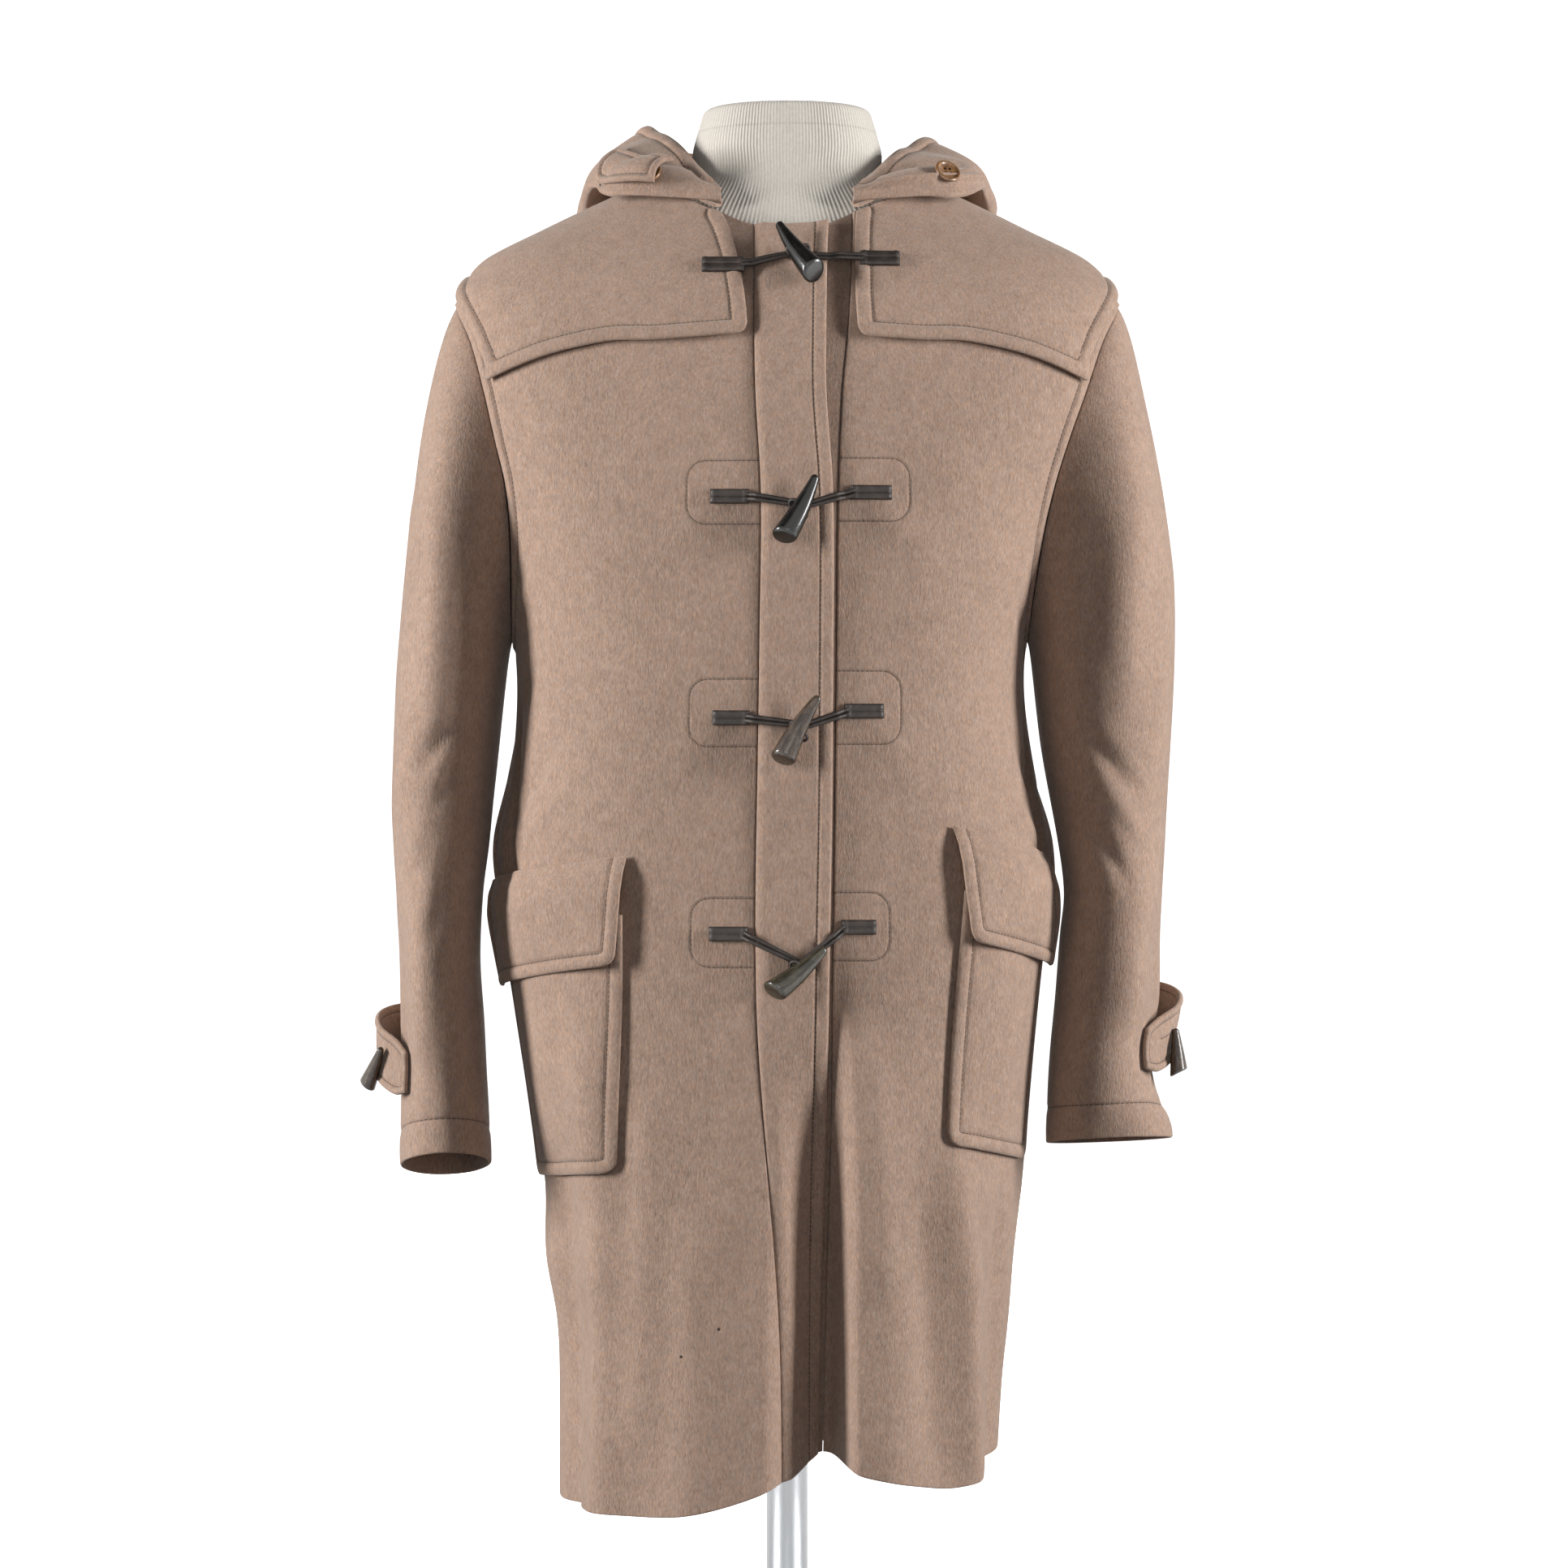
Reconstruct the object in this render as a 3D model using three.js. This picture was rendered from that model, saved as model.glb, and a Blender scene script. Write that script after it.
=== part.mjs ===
// Duffle coat of heavy wool on a limbless dress form that stands on a low pole and a round base.
// Millimetres, +Z up, floor at Z = 0. The coat's front faces -Y, so the wearer's right side is at -X.
import * as THREE from 'three';

// Driving dimensions of the cloth
const CLOTH = 2.4;
const DOUBLE_CLOTH = 3.6;
const LINING = { thick: 1, gap: 0.9 };
const SEAM_GAP = 0.3;
const LAID_GAP = 0.9;
const DEGREE = Math.PI / 180;

// Heights that the pattern turns on
const SHOULDER_TIP = 1065;
const UNDERARM = 805;
const ARMHOLE_CENTRE = (SHOULDER_TIP + UNDERARM) / 2;
const ARMHOLE_HALF_HEIGHT = (SHOULDER_TIP - UNDERARM) / 2;
const ARMHOLE_HALF_WIDTH = 72;

// Grid of the panels: rows down the shoulder, the armhole and the skirt
const SHOULDER_ROWS = 6;
const ARMHOLE_ROWS = 10;
const SKIRT_ROWS = 13;
const PANEL_ROWS = SHOULDER_ROWS + ARMHOLE_ROWS + SKIRT_ROWS;
const FRONT_COLUMNS = 12;
const FRONT_CROWDING = 1.2;
const BACK_COLUMNS = 18;

// The trunk's level sections: half widths to the wearer's right and left, half depths to front and back,
// and how square the section is, 2 being an ellipse
const SECTIONS = [
  { height: 120, right: 176, left: 160, front: 152, back: 156, square: 2.25 },
  { height: 233, right: 176, left: 166, front: 152, back: 154, square: 2.25 },
  { height: 284, right: 178, left: 171, front: 151, back: 152, square: 2.25 },
  { height: 334, right: 186, left: 175, front: 150, back: 151, square: 2.3 },
  { height: 384, right: 187, left: 181, front: 150, back: 150, square: 2.3 },
  { height: 450, right: 195, left: 185, front: 150, back: 149, square: 2.35 },
  { height: 560, right: 210, left: 195, front: 150, back: 146, square: 2.4 },
  { height: 605, right: 218, left: 203, front: 150, back: 144, square: 2.4 },
  { height: 650, right: 223, left: 202, front: 150, back: 142, square: 2.4 },
  { height: 700, right: 214, left: 191, front: 151, back: 140, square: 2.4 },
  { height: 760, right: 209, left: 183, front: 152, back: 140, square: 2.4 },
  { height: 805, right: 211, left: 185, front: 152, back: 142, square: 2.4 },
  { height: 870, right: 222, left: 203, front: 151, back: 146, square: 2.4 },
  { height: 923, right: 233, left: 221, front: 147, back: 148, square: 2.4 },
  { height: 957, right: 242, left: 233, front: 143, back: 147, square: 2.4 },
  { height: 996, right: 250, left: 247, front: 135, back: 143, square: 2.35 },
  { height: 1030, right: 254, left: 254, front: 125, back: 137, square: 2.3 },
  { height: 1065, right: 256, left: 256, front: 111, back: 127, square: 2.25 },
  { height: 1082, right: 243, left: 242, front: 103, back: 121, square: 2.2 },
  { height: 1096, right: 229, left: 226, front: 94, back: 115, square: 2.2 },
  { height: 1117, right: 188, left: 184, front: 81, back: 104, square: 2.2 },
  { height: 1135, right: 151, left: 148, front: 71, back: 93, square: 2.15 },
  { height: 1150, right: 118, left: 116, front: 63, back: 82, square: 2.1 },
  { height: 1163, right: 88, left: 88, front: 57, back: 72, square: 2.1 },
  { height: 1180, right: 72, left: 72, front: 51, back: 62, square: 2.1 },
];

// The neckline's and the hem's heights round the body, from the centre front at 0 degrees
const NECKLINE = [
  { angle: 0, height: 1117 },
  { angle: 20, height: 1120 },
  { angle: 36, height: 1130 },
  { angle: 60, height: 1147 },
  { angle: 90, height: 1163 },
  { angle: 130, height: 1170 },
  { angle: 180, height: 1172 },
];
const HEM = [
  { angle: -180, height: 160 },
  { angle: -130, height: 152 },
  { angle: -90, height: 148 },
  { angle: -45, height: 148 },
  { angle: -30, height: 151 },
  { angle: -15, height: 161 },
  { angle: 0, height: 177 },
  { angle: 10, height: 193 },
  { angle: 20, height: 182 },
  { angle: 40, height: 170 },
  { angle: 52, height: 167 },
  { angle: 75, height: 181 },
  { angle: 90, height: 186 },
  { angle: 130, height: 174 },
  { angle: 180, height: 160 },
];

// Large folds of the trunk: a soft ridge (rise above 0) or trough from one height and angle to another
const FOLDS = [
  { top: 560, topAngle: -50, bottom: 100, bottomAngle: -54, width: 20, rise: 8 },
  { top: 470, topAngle: -66, bottom: 100, bottomAngle: -70, width: 15, rise: -8 },
  { top: 440, topAngle: -22, bottom: 100, bottomAngle: -25, width: 26, rise: 7 },
  { top: 470, topAngle: 44, bottom: 100, bottomAngle: 60, width: 17, rise: 8 },
  { top: 430, topAngle: 62, bottom: 100, bottomAngle: 76, width: 14, rise: -7 },
  { top: 520, topAngle: 24, bottom: 100, bottomAngle: 28, width: 26, rise: 6 },
  { top: 800, topAngle: -84, bottom: 560, bottomAngle: -71, width: 13, rise: -9 },
  { top: 790, topAngle: -100, bottom: 520, bottomAngle: -86, width: 13, rise: 6 },
  { top: 800, topAngle: 84, bottom: 560, bottomAngle: 72, width: 13, rise: -8 },
  { top: 760, topAngle: 101, bottom: 520, bottomAngle: 87, width: 13, rise: 5 },
  { top: 900, topAngle: -128, bottom: 120, bottomAngle: -132, width: 24, rise: -9 },
  { top: 760, topAngle: -152, bottom: 100, bottomAngle: -156, width: 26, rise: 9 },
  { top: 700, topAngle: 176, bottom: 100, bottomAngle: 179, width: 24, rise: -9 },
  { top: 820, topAngle: 150, bottom: 100, bottomAngle: 154, width: 27, rise: 8 },
  { top: 900, topAngle: 126, bottom: 120, bottomAngle: 131, width: 22, rise: -9 },
];
// A fold fades in over this height; it fades out too unless it runs to the hem, below this height
const FOLD_FADE = 110;
const HEM_FOLDS = 300;

// The front opening falls back between two lobes of the skirt
const VALLEY = { top: 610, bottom: 200, depth: 50, start: -20, floor: 24, lip: 30, end: 54 };

// Bands of the front opening: where the seams and the free edge run, from the neck to the hem
const OPENING = [
  { height: 150, overSeam: -3, overEdge: 22, underSeam: 26, underEdge: 2 },
  { height: 300, overSeam: -6, overEdge: 25, underSeam: 29, underEdge: -1 },
  { height: 530, overSeam: -23, overEdge: 31, underSeam: 33.5, underEdge: -18 },
  { height: 800, overSeam: -21, overEdge: 34, underSeam: 36.5, underEdge: -16 },
  { height: 911, overSeam: -20, overEdge: 34, underSeam: 38, underEdge: -15 },
  { height: 986, overSeam: -24, overEdge: 29, underSeam: 41, underEdge: -19 },
  { height: 1037, overSeam: -25, overEdge: 29, underSeam: 46, underEdge: -20 },
  { height: 1120, overSeam: -25, overEdge: 31, underSeam: 50, underEdge: -20 },
];
const OVER_BAND = { inner: 0.7, outer: 0.7 + DOUBLE_CLOTH };
const UNDER_BAND = { inner: -1 - CLOTH, outer: -1 };
const BAND_COLUMNS = 4;

// Sleeves: level sections of the hanging tube, with the outer and inner edge as seen from the front
const SLEEVE_RIGHT = [
  { height: 380, outer: 297, inner: 226, centre: -34, depth: 56 },
  { height: 446, outer: 296, inner: 229, centre: -32, depth: 58 },
  { height: 476, outer: 296, inner: 231, centre: -30, depth: 60 },
  { height: 513, outer: 297, inner: 233, centre: -28, depth: 63 },
  { height: 560, outer: 298, inner: 236, centre: -24, depth: 67 },
  { height: 611, outer: 300, inner: 234, centre: -20, depth: 71 },
  { height: 648, outer: 303, inner: 230, centre: -16, depth: 75 },
  { height: 686, outer: 305, inner: 227, centre: -13, depth: 79 },
  { height: 768, outer: 302, inner: 219, centre: -7, depth: 87 },
  { height: 818, outer: 298, inner: 216, centre: -4, depth: 91 },
  { height: 875, outer: 293, inner: 216, centre: -1, depth: 92 },
  { height: 931, outer: 287, inner: 219, centre: 0, depth: 88 },
  { height: 981, outer: 281, inner: 220, centre: 0, depth: 82 },
  { height: 1023, outer: 274, inner: 220, centre: 0, depth: 74 },
  { height: 1051, outer: 265, inner: 220, centre: 0, depth: 70 },
  { height: 1075, outer: 255, inner: 220, centre: 0, depth: 66 },
];
const SLEEVE_LEFT = [
  { height: 380, outer: 296, inner: 198, centre: -32, depth: 46 },
  { height: 430, outer: 295, inner: 199, centre: -31, depth: 47 },
  { height: 461, outer: 283, inner: 200, centre: -30, depth: 52 },
  { height: 490, outer: 279, inner: 202, centre: -29, depth: 56 },
  { height: 530, outer: 286, inner: 206, centre: -26, depth: 58 },
  { height: 580, outer: 287, inner: 210, centre: -22, depth: 62 },
  { height: 611, outer: 288, inner: 213, centre: -20, depth: 66 },
  { height: 650, outer: 291, inner: 209, centre: -16, depth: 70 },
  { height: 736, outer: 297, inner: 195, centre: -9, depth: 79 },
  { height: 799, outer: 299, inner: 190, centre: -5, depth: 84 },
  { height: 862, outer: 298, inner: 192, centre: -1, depth: 88 },
  { height: 913, outer: 292, inner: 200, centre: 0, depth: 87 },
  { height: 947, outer: 286, inner: 208, centre: 0, depth: 83 },
  { height: 986, outer: 279, inner: 214, centre: 0, depth: 79 },
  { height: 1026, outer: 273, inner: 220, centre: 0, depth: 73 },
  { height: 1051, outer: 266, inner: 220, centre: 0, depth: 70 },
  { height: 1075, outer: 255, inner: 220, centre: 0, depth: 66 },
];
const SLEEVE_SIDES = 2 * ARMHOLE_ROWS;
const SLEEVE_RINGS = 13;
const SLEEVE_HEAD = 0.2;
const SLEEVE_CROWDING = 1.15;
// The sleeve starts under the trunk's edge at the shoulder and outside it at the underarm
const SLEEVE_START = { middle: -0.1, swing: -1.1 };
// Cuff edges: the height at the outer, front, inner and back side of the sleeve's end
const CUFF_RIGHT = { outer: 402, front: 414, inner: 410, back: 388 };
const CUFF_LEFT = { outer: 428, front: 425, inner: 420, back: 414 };

// Yoke: its edges in width from the middle and height, its stand-off from the armhole, and its back edge
const YOKE_INNER_RIGHT = { bottomX: -29, topX: -46, top: 1131 };
const YOKE_INNER_LEFT = { bottomX: 53, topX: 50, top: 1131 };
const YOKE_FRONT = [
  { across: 0, height: 1032 },
  { across: 98, height: 1025 },
  { across: 130, height: 1025 },
  { across: 162, height: 1020 },
  { across: 186, height: 1014 },
  { across: 224, height: 1000 },
];
const YOKE_BACK = [
  { angle: 105, height: 1000 },
  { angle: 140, height: 998 },
  { angle: 180, height: 984 },
];
const YOKE = { inner: 3.8, outer: 3.8 + CLOTH, fromArmhole: 11, corner: 1001, columns: 24, rows: 7 };
const YOKE_NECK_DROP = 4;
// Shares of the yoke's lower edge at its corners, and how far round the neckline each share starts
const YOKE_PARTS = { corner: 6 / 24, backCorner: 14 / 24, turning: 0.03 };
const YOKE_NECK = [
  { part: 0, angle: 0 },
  { part: 0.25, angle: 0.16 },
  { part: 0.4167, angle: 0.373 },
  { part: 0.5833, angle: 0.55 },
  { part: 1, angle: 1 },
];

// Hood, thrown back: across each station the cloth goes from the neck seam under the roll (under), round
// the outer fold (fold) and up the belly (belly) to the edge of the hood's mouth (mouth)
const HOOD_STATIONS = [
  { along: 0, angle: 37,
    under: [49, -70, 1135], fold: [52, -73, 1138], belly: [54, -73, 1143], mouth: [50, -69, 1148] },
  { along: 0.1, angle: 55,
    under: [80, -65, 1143], fold: [98, -73, 1141], belly: [95, -66, 1158], mouth: [66, -48, 1167] },
  { along: 0.22, angle: 74,
    under: [112, -42, 1154], fold: [134, -52, 1146], belly: [132, -42, 1168], mouth: [85, -22, 1190] },
  { along: 0.34, angle: 90,
    under: [126, -4, 1165], fold: [152, -10, 1153], belly: [148, 2, 1176], mouth: [106, 8, 1207] },
  { along: 0.48, angle: 110,
    under: [123, 64, 1153], fold: [160, 70, 1130], belly: [160, 66, 1165], mouth: [112, 50, 1205] },
  { along: 0.62, angle: 130,
    under: [104, 122, 1116], fold: [146, 142, 1068], belly: [150, 142, 1130], mouth: [98, 90, 1202] },
  { along: 0.8, angle: 155,
    under: [60, 153, 1066], fold: [92, 190, 985], belly: [96, 202, 1080], mouth: [54, 116, 1198] },
  { along: 1, angle: 180,
    under: [0, 158, 1050], fold: [0, 206, 952], belly: [0, 220, 1058], mouth: [0, 124, 1196] },
];
const HOOD_COLUMNS = 12;
const HOOD_ROWS = 10;
const HOOD_LEFT_DROP = { mouth: 10, belly: 0.2 };
const HOOD_SEAM = { drop: 1, out: 7.5 };
// The lining leaves this many of the hood's columns bare at each front end, and rows at mouth and seam
const LINING_BARE = { columns: 2, mouth: 1, seam: 6 };

// Pockets and flaps: the near edge's width from the middle, the far edge's angle, and the edges' heights
const POCKET_RIGHT = { nearTop: 121, nearBottom: 123, farAngle: 84, top: 598, nearFoot: 405, farFoot: 394 };
const POCKET_LEFT = { nearTop: 130, nearBottom: 116, farAngle: 76, top: 616, nearFoot: 426, farFoot: 408 };
const POCKET = { laid: 1.5, belly: 3.2, thick: 3, columns: 8, rows: 6 };
const FLAP_RIGHT = { nearTop: 118, nearBottom: 124, farAngle: 88, top: 642, farTop: 622,
  nearFoot: 561, farFoot: 540 };
const FLAP_LEFT = { nearTop: 122, nearBottom: 132, farAngle: 78, top: 664, farTop: 640,
  nearFoot: 579, farFoot: 556 };
const FLAP = { laid: 1.3, lift: 7.6, thick: 3, columns: 8, rows: 5, hinge: 0.34 };

// Toggles are horn cones. Both tables have a row for each fastening, from the neck down: the heights and
// widths of the two leather tabs and what they lie on, and the places of the toggle's tip and base
const TOGGLE = { length: 53, base: 9.2, tip: 2.6, sides: 12, baseOut: 8.8, tipOut: 6 };
const CUFF_TOGGLE = { length: 34, base: 7, tip: 2.2, sides: 12 };
const TABS = [
  { right: 1081, rightFrom: -63, rightTo: -32, left: 1086, leftFrom: 54, leftTo: 84, ground: 6.2 },
  { right: 908, rightFrom: -57, rightTo: -28, left: 911, leftFrom: 47, leftTo: 77, ground: 0 },
  { right: 744, rightFrom: -55, rightTo: -28, left: 749, leftFrom: 42, leftTo: 71, ground: 0 },
  { right: 584, rightFrom: -58, rightTo: -29, left: 589, leftFrom: 40, leftTo: 66, ground: 0 },
];
const TOGGLES = [
  { tipX: -7, tipZ: 1110, baseX: 20, baseZ: 1070 },
  { tipX: 21, tipZ: 922, baseX: -3, baseZ: 876 },
  { tipX: 23, tipZ: 760, baseX: -3, baseZ: 713 },
  { tipX: 28, tipZ: 575, baseX: -12, baseZ: 542 },
];
const TAB = { width: 11, thick: 2.2, columns: 5 };
// A thong climbs onto the band over these distances from the band's edge
const THONG = { width: 6, thick: 2.2, columns: 9, reach: 2, climbFrom: 9, climbTo: 2 };

// Cuff tabs: strap stations round the sleeve's outer side, from the back seam to the rounded front end
const CUFF_TAB_RIGHT = [
  { turn: -62, standoff: 0.6, height: 503, width: 40 },
  { turn: -38, standoff: 11, height: 503, width: 42 },
  { turn: -14, standoff: 17, height: 498, width: 44 },
  { turn: 8, standoff: 14, height: 488, width: 44 },
  { turn: 28, standoff: 6, height: 480, width: 42 },
  { turn: 44, standoff: 2, height: 476, width: 30 },
];
const CUFF_TAB_LEFT = [
  { turn: -62, standoff: 0.8, height: 520, width: 40 },
  { turn: -38, standoff: 12, height: 520, width: 42 },
  { turn: -16, standoff: 17, height: 514, width: 44 },
  { turn: 6, standoff: 13, height: 504, width: 44 },
  { turn: 26, standoff: 6, height: 497, width: 42 },
  { turn: 42, standoff: 2, height: 494, width: 30 },
];
const STRAP = { thick: 3, columns: 10, rows: 2 };
// Cuff toggles: turn round the sleeve, standoff and height of the tip and the base
const CUFF_TOGGLE_RIGHT = { tipTurn: 20, tipOut: 17.5, tipZ: 494, baseTurn: 2, baseOut: 26, baseZ: 464 };
const CUFF_TOGGLE_LEFT = { tipTurn: 10, tipOut: 17.2, tipZ: 508, baseTurn: 14, baseOut: 21.2, baseZ: 474 };

// Throat tab on the right side of the hood, as shares along and across the hood, and the throat buttons
const THROAT_TAB = { from: 0.1, to: 0.27, low: 0.6, high: 0.84, rootOut: 0.9, tipOut: 5.8,
  liftFrom: 0.3, liftTo: 0.8, thick: 3, columns: 8, rows: 5 };
const BUTTON = { radius: 10.5, thick: 3, out: 0.8, sides: 16 };
const BUTTON_RIGHT = { along: 0.125, across: 0.72 };
const BUTTON_LEFT = { along: 0.17, across: 0.7 };

// Dress form: half widths and depths of its level sections
const FORM_SECTIONS = [
  { height: 520, width: 168, front: 112, back: 118, square: 2.2 },
  { height: 560, width: 172, front: 116, back: 122, square: 2.2 },
  { height: 640, width: 172, front: 118, back: 122, square: 2.2 },
  { height: 720, width: 158, front: 112, back: 112, square: 2.15 },
  { height: 790, width: 160, front: 118, back: 114, square: 2.15 },
  { height: 870, width: 178, front: 130, back: 124, square: 2.2 },
  { height: 950, width: 196, front: 130, back: 130, square: 2.3 },
  { height: 1020, width: 204, front: 112, back: 122, square: 2.3 },
  { height: 1060, width: 204, front: 104, back: 118, square: 2.25 },
  { height: 1088, width: 202, front: 92, back: 110, square: 2.2 },
  { height: 1104, width: 190, front: 84, back: 103, square: 2.2 },
  { height: 1117, width: 172, front: 76, back: 98, square: 2.2 },
  { height: 1135, width: 137, front: 66, back: 87, square: 2.15 },
  { height: 1150, width: 100.5, front: 58, back: 72.5, square: 2.1 },
  { height: 1163, width: 76.5, front: 55, back: 59.5, square: 2.05 },
  { height: 1185, width: 73, front: 58, back: 58, square: 2 },
  { height: 1217, width: 64, front: 54, back: 54, square: 2 },
];
const FORM_SIDES = 24;
const FORM_RINGS = 20;
const FORM_CROWDING = 1.7;
const POLE = { radius: 16, sides: 20 };
const COLLAR = { radius: 34, height: 26 };
const BASE = { radius: 165, thick: 12, hub: 30, hubHeight: 34, sides: 32 };

const WOOL = { color: 0xa78b7b, roughness: 0.95, metalness: 0 };
const WOOL_UNDER = { color: 0x8d7465, roughness: 0.95, metalness: 0 };
const LINING_CLOTH = { color: 0x3a3f3a, roughness: 0.9, metalness: 0 };
const LEATHER = { color: 0x2b2422, roughness: 0.5, metalness: 0 };
const HORN = { color: 0x3a2f2a, roughness: 0.25, metalness: 0 };
const AMBER = { color: 0x9a6a34, roughness: 0.3, metalness: 0 };
const JERSEY = { color: 0xd8cfc3, roughness: 0.9, metalness: 0 };
const STEEL = { color: 0xb8babb, roughness: 0.35, metalness: 0.9 };

// Reads a column of a table at a place along its key column, as a smooth curve through the rows
function read(table, key, column, place) {
  const last = table.length - 1;
  const at = THREE.MathUtils.clamp(place, table[0][key], table[last][key]);
  let row = 0;
  while (row < last - 1 && at > table[row + 1][key]) row += 1;
  const slope = (n) => {
    const before = table[Math.max(n - 1, 0)];
    const after = table[Math.min(n + 1, last)];
    return (after[column] - before[column]) / (after[key] - before[key]);
  };
  const step = table[row + 1][key] - table[row][key];
  const t = (at - table[row][key]) / step;
  const tt = t * t;
  const ttt = tt * t;
  return (2 * ttt - 3 * tt + 1) * table[row][column] + (ttt - 2 * tt + t) * step * slope(row)
    + (3 * tt - 2 * ttt) * table[row + 1][column] + (ttt - tt) * step * slope(row + 1);
}

// Rises from 0 to 1 between two places, level at both ends
function ease(from, to, place) {
  const t = THREE.MathUtils.clamp((place - from) / (to - from), 0, 1);
  return t * t * (3 - 2 * t);
}

// Height that the folds add to the trunk's surface
function foldRise(angle, height, radius) {
  let rise = 0;
  for (const fold of FOLDS) {
    const along = THREE.MathUtils.clamp((fold.top - height) / (fold.top - fold.bottom), 0, 1);
    const path = (fold.topAngle + (fold.bottomAngle - fold.topAngle) * along) * DEGREE;
    const turn = Math.atan2(Math.sin(angle - path), Math.cos(angle - path));
    const across = turn * radius / fold.width;
    const start = ease(fold.top, fold.top - FOLD_FADE, height);
    const end = fold.bottom < HEM_FOLDS ? 1 : ease(fold.bottom, fold.bottom + FOLD_FADE, height);
    rise += fold.rise * start * end * Math.exp(-across * across);
  }
  return rise;
}

// Depth of the valley at the front opening
function valleyDepth(x, height) {
  const deep = VALLEY.depth * ease(VALLEY.top, VALLEY.bottom, height);
  return deep * ease(VALLEY.start, VALLEY.floor, x) * ease(VALLEY.end, VALLEY.lip, x);
}

// Point of the trunk's outer surface, at an angle from the centre front and a height
function trunkPoint(angle, height) {
  const square = read(SECTIONS, 'height', 'square', height);
  const width = read(SECTIONS, 'height', angle < 0 ? 'right' : 'left', height);
  const depth = read(SECTIONS, 'height', Math.cos(angle) > 0 ? 'front' : 'back', height);
  const sideways = Math.pow(Math.abs(Math.sin(angle)) / width, square);
  const lengthways = Math.pow(Math.abs(Math.cos(angle)) / depth, square);
  const plain = Math.pow(sideways + lengthways, -1 / square);
  const radius = plain + foldRise(angle, height, plain);
  const x = radius * Math.sin(angle);
  const valley = Math.cos(angle) > 0 ? valleyDepth(x, height) : 0;
  return new THREE.Vector3(x, -radius * Math.cos(angle) + valley, height);
}

// Point moved out from the trunk along its normal
function trunkOffset(angle, height, out) {
  const turn = 0.01;
  const step = 2;
  const down = trunkPoint(angle, height - step).sub(trunkPoint(angle, height + step));
  const around = trunkPoint(angle + turn, height).sub(trunkPoint(angle - turn, height));
  const normal = down.cross(around).normalize();
  return trunkPoint(angle, height).addScaledVector(normal, out);
}

// Angle of the trunk at which its front lies at a given width
function angleAcross(x, height) {
  const square = read(SECTIONS, 'height', 'square', height);
  const width = read(SECTIONS, 'height', x < 0 ? 'right' : 'left', height);
  const depth = read(SECTIONS, 'height', 'front', height);
  const part = Math.min(Math.abs(x) / width, 0.9999);
  const y = depth * Math.pow(1 - Math.pow(part, square), 1 / square);
  return Math.atan2(x, y);
}

// Angle of the trunk at which its side lies at a given depth, between the front and the back
function angleInDepth(side, y, height) {
  const square = read(SECTIONS, 'height', 'square', height);
  const width = read(SECTIONS, 'height', side < 0 ? 'right' : 'left', height);
  const depth = read(SECTIONS, 'height', y < 0 ? 'front' : 'back', height);
  const part = Math.min(Math.abs(y) / depth, 0.9999);
  const x = width * Math.pow(1 - Math.pow(part, square), 1 / square);
  return side * Math.atan2(x, -y);
}

// Half depth of the armhole's oval at a height, with the oval widened by a margin
function armholeDepth(height, margin) {
  const up = (height - ARMHOLE_CENTRE) / (ARMHOLE_HALF_HEIGHT + margin);
  return (ARMHOLE_HALF_WIDTH + margin) * Math.sqrt(Math.max(0, 1 - up * up));
}

// Height of a panel's row at an angle: shoulder rows hang from the neckline, skirt rows end on the hem
function rowHeight(row, angle) {
  const degrees = angle / DEGREE;
  if (row <= SHOULDER_ROWS) {
    const neck = read(NECKLINE, 'angle', 'height', Math.abs(degrees));
    return neck + (SHOULDER_TIP - neck) * row / SHOULDER_ROWS;
  }
  if (row <= SHOULDER_ROWS + ARMHOLE_ROWS) {
    const turn = Math.PI * (row - SHOULDER_ROWS) / ARMHOLE_ROWS;
    return ARMHOLE_CENTRE + ARMHOLE_HALF_HEIGHT * Math.cos(turn);
  }
  const hem = read(HEM, 'angle', 'height', degrees);
  return UNDERARM + (hem - UNDERARM) * (row - SHOULDER_ROWS - ARMHOLE_ROWS) / SKIRT_ROWS;
}

// Angle of a panel's outer edge on a row: the shoulder and side seams, with the armhole between them
function outerAngle(side, row, height, facing) {
  const seam = side * (Math.PI / 2 - facing * SEAM_GAP / 2 / read(SECTIONS, 'height', 'right', height));
  if (row <= SHOULDER_ROWS || row >= SHOULDER_ROWS + ARMHOLE_ROWS) return seam;
  return angleInDepth(side, -facing * (armholeDepth(height, 0) + SEAM_GAP), height);
}

// Geometry from points and the faces between them
function surface(points, faces) {
  const numbers = points.flatMap((point) => point.toArray());
  const geometry = new THREE.BufferGeometry();
  geometry.setAttribute('position', new THREE.Float32BufferAttribute(numbers, 3));
  geometry.setIndex(faces);
  geometry.computeVertexNormals();
  return geometry;
}

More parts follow.
